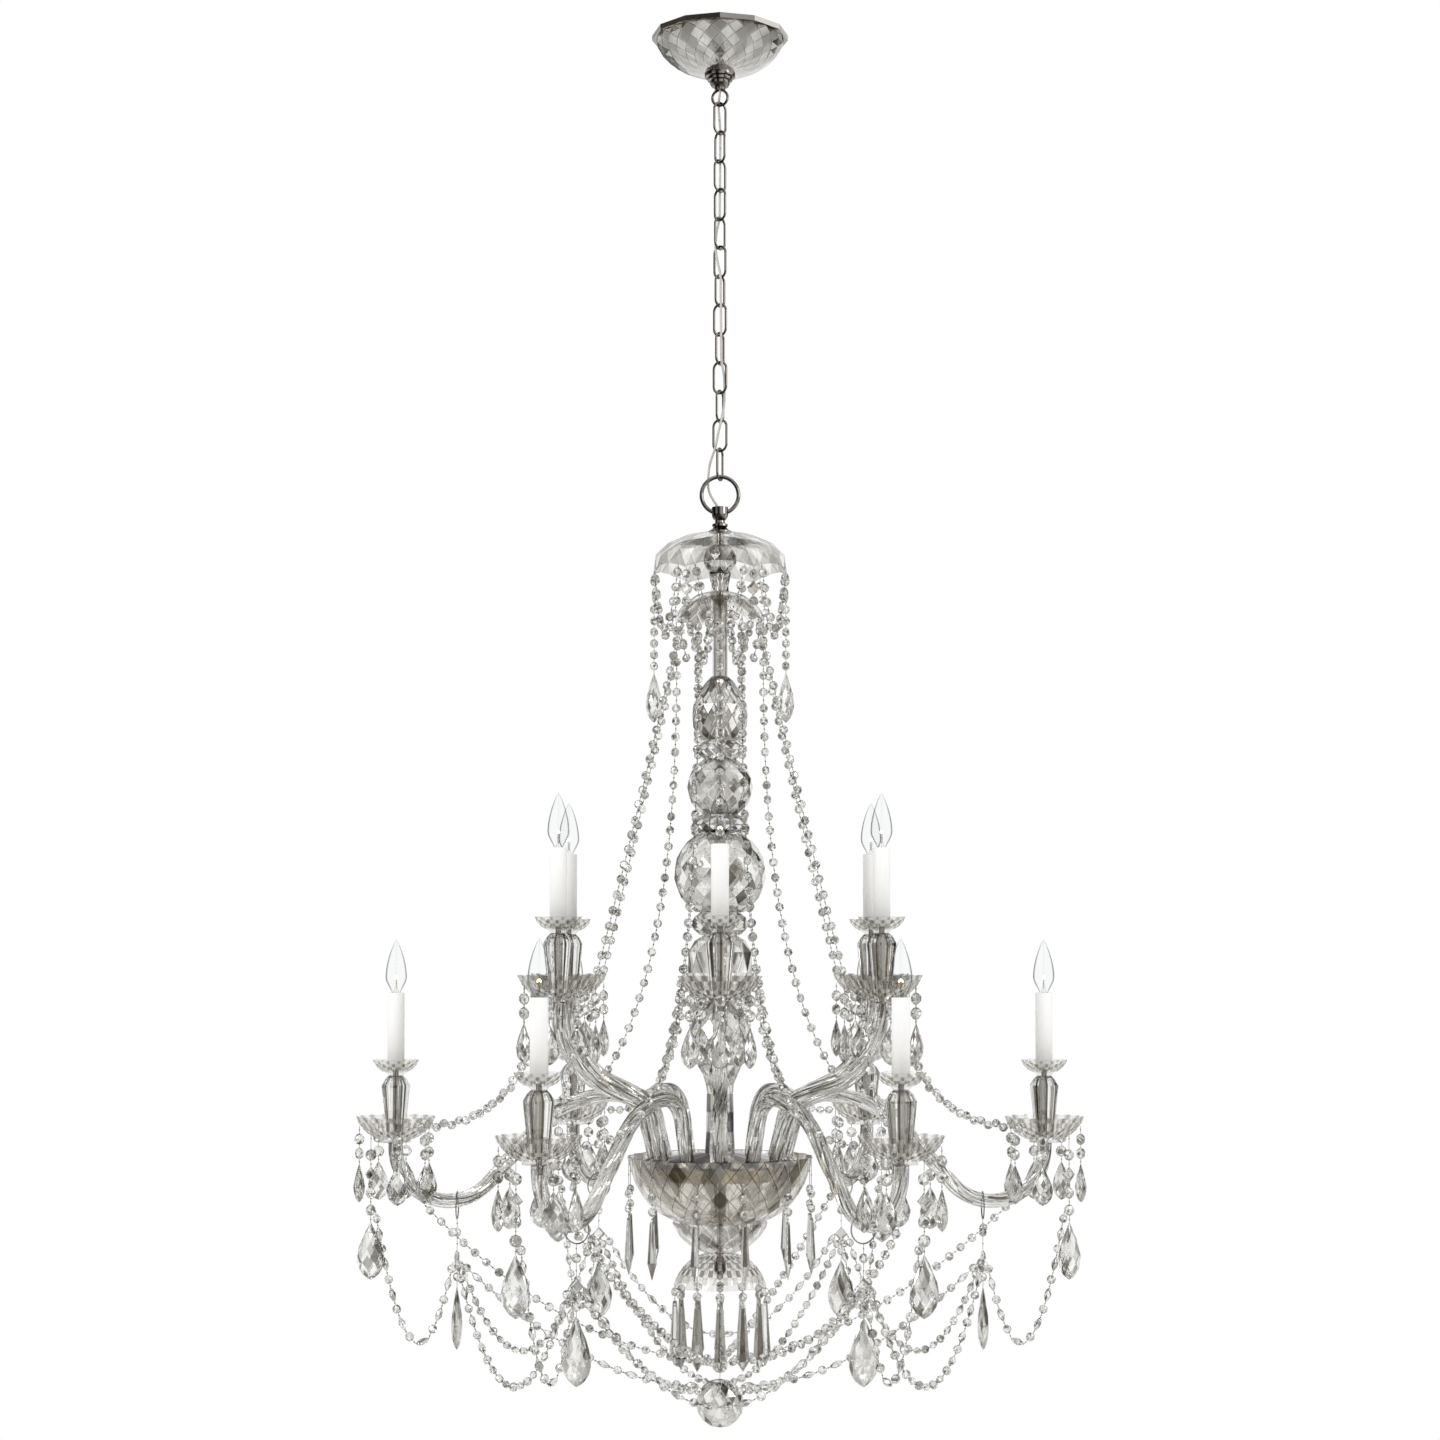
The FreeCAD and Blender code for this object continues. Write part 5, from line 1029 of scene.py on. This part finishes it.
def dish_hole(tier, azimuth, turn, outward=0.0, lower=0.0):
    """A hole near a dish's rim, or a point beyond it. The turn counts about the dish."""
    angle = math.radians(turn)
    reach = HOLE + outward
    end = ARM_ENDS[tier]
    return sector_point(end.x + reach * math.cos(angle), azimuth, end.z + DISH_TOP - HOLE_DOWN - lower,
                        reach * math.sin(angle))


upper = Hangings()
rim = dish_hole("upper", 0, 180, DISH_RADIUS + 0.6 + HOOK - HOLE, 4 - HOLE_DOWN)
upper.strand(small_bell_hook(0), (small_bell_hook(0) + rim) * 0.5 + down(UPPER_DROOP), rim)
upper.pieces("upper_strands")

slope = math.radians(ARM_SLOPE)
straight_end = ARM_ROOT + Vector((math.cos(slope), 0, math.sin(slope))) * RISE
bend_centre = straight_end + Vector((math.sin(slope), 0, -math.cos(slope))) * BEND
hump = bend_centre - down(BEND) + down(HUMP)
LAND = 28
landing = hump.z + math.sqrt(HUMP ** 2 - LAND ** 2) + ARM_RADIUS + HOOK + 0.6 + 0.5
to_arms = Hangings()
to_arms.strand(small_bell_hook(30), polar(56, 30, small_bell_hook(30).z - ARM_DROOP),
               polar(hump.x + LAND, 30, landing))
to_arms.pieces("arm_strands")

between = Hangings()
for side in (-1, 1):
    low_end = dish_hole("lower", 30, 180 + 55 * side, 1)
    high_end = dish_hole("upper", 30 - 30 * side, 100 * side, 1)
    handle = high_end * 0.8 + low_end * 0.2
    handle.z = low_end.z - 12
    between.strand(low_end, handle, high_end)
between.pieces("dish_strands")

RING_LEAN = math.radians(9.5)
RING_WIRE, RING_RADIUS = 1.0, 20
ring_spot = (Vector((ARM_ENDS["lower"].x - DIP, 0, ARM_ENDS["lower"].z - ARM_TIP))
             + Vector((-math.sin(RING_LEAN), 0, -math.cos(RING_LEAN))) * DIP)
RING_FOOT = Vector((ring_spot.x, 0, ring_spot.z + ARM_RADIUS + RING_WIRE + HOOK - 2 * RING_RADIUS))
JUNCTION = RING_FOOT.z - 58
BESIDE = 3.5 + HOOK
half = HALF_DIAMOND + HOOK

swags = Hangings()
first = sector_point(RING_FOOT.x, 30, JUNCTION, -half)
last = sector_point(RING_FOOT.x, -30, JUNCTION, half)
swags.strand(first, (first + last) * 0.5 + down(SWAG_DROOP), last, True)
for azimuth in AZIMUTHS["lower"]:
    hook = dish_hole("lower", azimuth, LONG_TURN.get(azimuth, 0), -8.5 - 0.8, 121)
    end = sector_point(RING_FOOT.x + BESIDE + 2, azimuth, JUNCTION - half / 2)
    swags.strand(hook, (hook + end) * 0.5 + down(SIDE_SWAG_DROOP), end, True, [0])
swags.pieces("outer_swags")

low_swags = Hangings()
start = sector_point(RING_FOOT.x - BESIDE - 1, 30, JUNCTION - half / 2)
low_swags.strand(start, polar(190, 30, BALL_TOP - 14), polar(31, 30, (BALL_FOOT + BALL_TOP) / 2 + 26),
                 True)
low_swags.strand(dish_hole("lower", 30, 150, 0, 57 + 57 + 1.2), polar(235, 45, BALL_TOP + 50),
                 polar(14.5, 52, BALL_TOP + 26))
string_top = span("bottom_nut")[0] - HOOK
big = string_top - BALL_TOP - 20
string = [(BEAD, 12 + 18 * index) for index in range(int((big - 30) / 18) + 1)] + [(ROUND_BALL, big)]
low_swags.hang(Matrix.Translation((0, 0, string_top)), string)
low_swags.wires.add(rod(Vector((0, 0, string_top - big - 12)), Vector((0, 0, BALL_TOP + HOOK)), 0.5))
low_swags.pieces("bottom_swags")

bell_swags = Hangings()
first, last = top_bell_hook(-22), top_bell_hook(22)
bell_swags.strand(first, polar(99, 0, first.z - TOP_BELL_DROOP), last)
first, last = small_bell_hook(14), small_bell_hook(46)
bell_swags.strand(first, polar(38, 30, first.z - SMALL_BELL_DROOP), last)
bell_swags.pieces("bell_swags")

bell_pendants = Hangings()
for azimuth in AZIMUTHS["lower"]:
    string = [(BEAD, 10), (DIAMOND, 31), (BEAD, 50)]
    if azimuth in (90, 270):
        string = string[:2] + [(BEAD, 52 + 17 * index) for index in range(6)] + [(BELL_PEAR, 148)]
    bell_pendants.hang(Matrix.Translation(top_bell_hook(azimuth)) @ about(azimuth), string)
bell_pendants.pieces("bell_pendants")

TURNS = {"lower": [0, 55, -55, 100, -100, 150, -150], "upper": [0, 50, -50, 150, -150]}
dish_pendants = Hangings()
for tier, azimuths in AZIMUTHS.items():
    for azimuth in azimuths:
        for turn in TURNS[tier]:
            string = [(PENDANT_BEAD, 20), (PENDANT_BEAD, 41), (SMALL_PEAR, 57)]
            if tier == "lower" and turn == LONG_TURN.get(azimuth, 0):
                string = [(PENDANT_BEAD, 40), (DIAMOND, 69), (PENDANT_BEAD, 96), (PENDANT_BEAD, 121),
                          (LONG_PEAR, 140)]
            hole = Matrix.Translation(dish_hole(tier, azimuth, turn, 0.4, 0.4))
            dish_pendants.hang(hole @ about(azimuth + turn), string, 0.35 if turn else 0.0)
dish_pendants.pieces("dish_pendants")

rings = Hangings()
for azimuth in AZIMUTHS["lower"]:
    place = facing(azimuth)
    angles = [math.pi * step / 24 for step in range(48)]
    centre = RING_FOOT - down(RING_RADIUS)
    loop = [centre + Vector((0, RING_RADIUS * math.cos(angle), RING_RADIUS * math.sin(angle)))
            for angle in angles]
    rings.wires.add(tube(loop, RING_WIRE, 8, closed=True), place)
    rings.hang(place @ Matrix.Translation(RING_FOOT), [(BEAD, 20), (DIAMOND, 58), (BEAD, 86)])
    rings.wires.add(rod(RING_FOOT + down(92), RING_FOOT + down(101), 0.5), place)
rings.pieces("arm_rings")

for number, azimuth in enumerate(AZIMUTHS["lower"], start=1):
    node = "arm_drop_%d" % number
    place = facing(azimuth) @ Matrix.Translation(RING_FOOT + down(101.3))
    Cutting().add(pear(93, 48.8, 17, 12), place).cut_piece(node, ball_crystal, node, "crystal")

prisms = Hangings()
for index in range(12):
    prisms.hang(facing(30 * index + 15, 138.5 + 0.6 + HOOK, BOWL_RIM - 4),
                [(PRISM_BEAD, 48), (PRISM_BEAD, 70), (BOWL_PRISM, 84)])
    prisms.hang(facing(30 * index, 67, LOWER_BELL_FOOT - HOOK), [(PRISM_BEAD, 9), (BELL_PRISM, 22)])
prisms.pieces("hanging_prisms")


# ---- the supply cord

LOOP_FOOT = -106.5
FIRST_LINK, LINK_PITCH, LINKS, LINK_INSIDE = 126.2, 43.7, 13, 44.0
LINK_TURN, LINK_TURN_STEP = 38, 2.5
RING_CENTRE = -697.05
FINIAL_TOP = -715.5
PIPE_TOP = -740.8
WELL_FLOOR = -30.8
WEAVE = 7.3
CORD_RADIUS = 1.85
CORD_SIDES = [0, 0, 0, 0, 1, 2, 2, 2, 2, 3, 2, 1]


def link_height(index):
    return -(FIRST_LINK + LINK_PITCH * index)


def cord_route():
    """The points that lead the cord: out of the canopy, through the links, the ring and the pipe."""
    points = [Vector(point) for point in (
        (26.1, 0, WELL_FLOOR + 5.2), (18, 0.2, WELL_FLOOR + 8.6), (9, 0, WELL_FLOOR + 9.0),
        (2.6, -0.1, WELL_FLOOR + 5.2), (0.4, 0, WELL_FLOOR - 3.5), (0, 0.3, -48), (0.3, 0, -76),
        (0, 1.2, LOOP_FOOT + 19))]
    for index in range(LINKS):
        joint = link_height(index) + LINK_INSIDE / 2 + 1.8
        side = 109
        if index:
            side = LINK_TURN + LINK_TURN_STEP * index + 45 + 90 * CORD_SIDES[index - 1]
        angle = math.radians(side)
        point = Vector((WEAVE * math.cos(angle), WEAVE * math.sin(angle), joint))
        if index:
            middle = (points[-1] + point) * 0.5
            reach = math.hypot(middle.x, middle.y)
            points.append(Vector((middle.x * WEAVE / reach, middle.y * WEAVE / reach, middle.z)))
        points.append(point)
    points += [Vector(point) for point in (
        (-15.5, 7.5, RING_CENTRE + 50), (-18.5, 7.8, RING_CENTRE + 24), (-17.0, 7.0, RING_CENTRE + 6),
        (-9.5, 6.0, RING_CENTRE - 8), (-3.0, 5.7, FINIAL_TOP + 1.5), (-0.3, 5.5, FINIAL_TOP - 11),
        (0, 0.7, PIPE_TOP + 1), (0.2, 0.2, PIPE_TOP - 14), (0, 0.1, PIPE_TOP - 50))]
    end = span("arm_hub")[0] + 12
    runs = 16
    for step in range(1, runs + 1):
        sway = 0.25 if step % 2 else -0.2
        points.append(Vector((sway, 0.1 * sway,
                              PIPE_TOP - 50 + (end - PIPE_TOP + 50) * step / runs)))
    return points


def smooth_line(points):
    """Points along a spline that the route points lead."""
    data = bpy.data.curves.new("cord_line", "CURVE")
    data.dimensions = "3D"
    data.resolution_u = 6
    spline = data.splines.new("NURBS")
    spline.points.add(len(points) - 1)
    for made, point in zip(spline.points, points):
        made.co = (*(point * MM), 1)
    spline.order_u = 3
    spline.use_endpoint_u = True
    holder = bpy.data.objects.new("cord_line", data)
    mesh = bpy.data.meshes.new_from_object(holder)
    line = [vertex.co / MM for vertex in mesh.vertices]
    bpy.data.meshes.remove(mesh)
    bpy.data.objects.remove(holder)
    bpy.data.curves.remove(data)
    return line


CORD_LINE = smooth_line(cord_route())
# Each run of the cord: its foot, its bodies and the joint between them.
CORD_RUNS = (
    (link_height(0), ("canopy", "chain_top_link"), LOOP_FOOT),
    (link_height(1), ("chain_top_link", "chain"), link_height(0) - LINK_INSIDE / 2),
    (link_height(LINKS - 2), ("chain",), None),
    (link_height(LINKS - 1), ("chain", "chain_bottom_link"), link_height(LINKS - 2) - LINK_INSIDE / 2),
    (-3000, ("chain_bottom_link", "fixture"), link_height(LINKS - 1) - LINK_INSIDE / 2))


def cord_piece(name, high, low, bodies, hinge):
    """The cord between two heights. It rides on one body, or stays in place where it runs between two.
    """
    places = [place for place, point in enumerate(CORD_LINE) if low <= point.z <= high]
    first, last = max(0, places[0] - 1), min(len(CORD_LINE) - 1, places[-1] + 1)
    cutting = tube(CORD_LINE[first:last + 1], CORD_RADIUS, 12)
    if len(bodies) == 1:
        cutting.piece(name, cord_silver, bodies[0], "cord_jacket", ["supply_cord"], smooth=True)
        return
    made = cutting.object(name, cord_silver, smooth=True)
    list(bodies)
    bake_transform(made)
    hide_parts("supply_cord")


level = 0
for number, (low, bodies, hinge) in enumerate(CORD_RUNS, start=1):
    cord_piece("cord_%d" % number, level, low, bodies, hinge)
    level = low


# ---- finishes of the plain nodes

for material, nodes in (
        (plate_nickel, ("canopy_plate", "stem_pipe")),
        (chain_nickel, ("canopy_collar", "canopy_loop", "chain_top_link", "chain_links",
                        "chain_bottom_link", "hanging_ring", "top_finial")),
        (polished_nickel, ("bottom_nut", "arm_end_seats")),
        (pan_nickel, ("arm_hub", "lamp_holders")),
        (brass, ("hub_cover", "bulb_caps")),
        (zinc, ("ceiling_crossbar", "canopy_nipple", "canopy_locknut")),
        (nut_tan, ("canopy_wire_nuts", "hub_wire_nuts")),
        (wire_clear, ("arm_wires",)),
        (cord_silver, ("supply_cord",))):
    for node in nodes:
        mesh = NODES[node].data
        mesh.materials.clear()
        mesh.materials.append(material)


# ---- the room: floor, lamps and background

FADE_START, FADE_END = 3.0, 4.2
FLOOR_LEVEL, FLOOR_HALF = -2.75, 9


def stage_material():
    """A pale floor that stays white where the camera sees it and keeps a soft shadow. From below
    it is open, so that the object shows through it."""
    tree = Tree(bpy.data.materials.new("pale_floor"))
    seen = tree.node("LightPath")[0]
    away = tree.node("VectorMath", {"operation": "LENGTH"}, [tree.node("TexCoord")[3]])[0]
    fade = tree.node("MapRange", {"interpolation_type": "SMOOTHSTEP"},
                     [away, FADE_START, FADE_END, 0.82, 1.0])[0]
    matte = tree.node("BsdfDiffuse", {}, {"Color": rgb(0.86, 0.86, 0.85)})[0]
    glow = tree.node("Emission", {}, {"Color": rgb(1, 1, 1), "Strength": 1.0})[0]
    below = tree.node("NewGeometry")[6]
    return tree.finish(tree.mix(below, tree.mix(seen * fade, matte, glow), tree.clear(rgb(1, 1, 1))))


floor_mesh = bpy.data.meshes.new("floor")
floor_mesh.from_pydata([(x * FLOOR_HALF, y * FLOOR_HALF, FLOOR_LEVEL)
                        for x, y in ((-1, -1), (1, -1), (1, 1), (-1, 1))], [], [(0, 1, 2, 3)])
floor_mesh.materials.append(stage_material())
floor = linked("floor", floor_mesh)


def room_light():
    """White where the camera looks. Glass and metal see a white room with soft darker bands."""
    world = bpy.data.worlds.new("room")
    bpy.context.scene.world = world
    tree = Tree(world)
    around, up = tree.around(tree.node("TexCoord")[0])
    height = up * 0.5 + 0.5

    def stripes(count, shift, sharpness, level=0.5):
        return ((around * count + up * 3 + shift).sine() * sharpness + level).held()

    ring = tree.node("ValToRGB", {"stops": [
        (0.0, (0.0, 0.0, 0.0)), (0.30, (0.0, 0.0, 0.0)), (0.38, (1.0, 1.0, 1.0)),
        (0.66, (1.0, 1.0, 1.0)), (0.76, (0.0, 0.0, 0.0))]}, [height])[0]
    zones = tree.node("ValToRGB", {"stops": [
        (0.0, (0.62, 0.605, 0.57)), (0.2, (0.30, 0.28, 0.24)), (0.36, (0.08, 0.074, 0.058)),
        (0.68, (0.13, 0.12, 0.095)), (0.84, (0.24, 0.228, 0.20)), (0.95, (1.0, 1.0, 1.0))]},
        [height])[0]
    outside = tree.blend(stripes(7, 0.4, 0.9), zones, rgb(0.85, 0.85, 0.84))
    panels = tree.blend(stripes(5, 1.1, 1.6, 0.85), rgb(0.03, 0.027, 0.02), rgb(1, 1, 1))
    cards = tree.blend(stripes(9, 0.7, 5.0, 3.2), rgb(0.165, 0.15, 0.115), rgb(1, 1, 1))
    path = tree.node("LightPath")
    camera_ray, glossy, reflected, transmitted = path[0], path[3], path[5], path[6]
    soft = tree.blend(transmitted, rgb(0.96, 0.96, 0.96), tree.blend(ring, outside, cards))
    soft = tree.blend(glossy * reflected, soft, tree.blend(ring * 0.85, outside, panels))
    seen = tree.blend(camera_ray, soft, rgb(1, 1, 1))
    background = tree.node("Background", {}, {"Color": seen, "Strength": 1.0})[0]
    tree.node("OutputWorld", {}, {"Surface": background})


room_light()

for name, place, aim, size, power in (
        ("left_softbox", (-2.6, -2.2, 0.4), (0, 0, -1.3), 1.6, 34),
        ("right_softbox", (2.8, -1.6, 0.2), (0, 0, -1.4), 1.4, 22)):
    data = bpy.data.lights.new(name, "AREA")
    data.shape = "SQUARE"
    data.size = size
    data.energy = power
    lamp = linked(name, data)
    lamp.location = place
    lamp.rotation_euler = (Vector(aim) - Vector(place)).to_track_quat("-Z", "Y").to_euler()

bpy.context.view_layer.update()
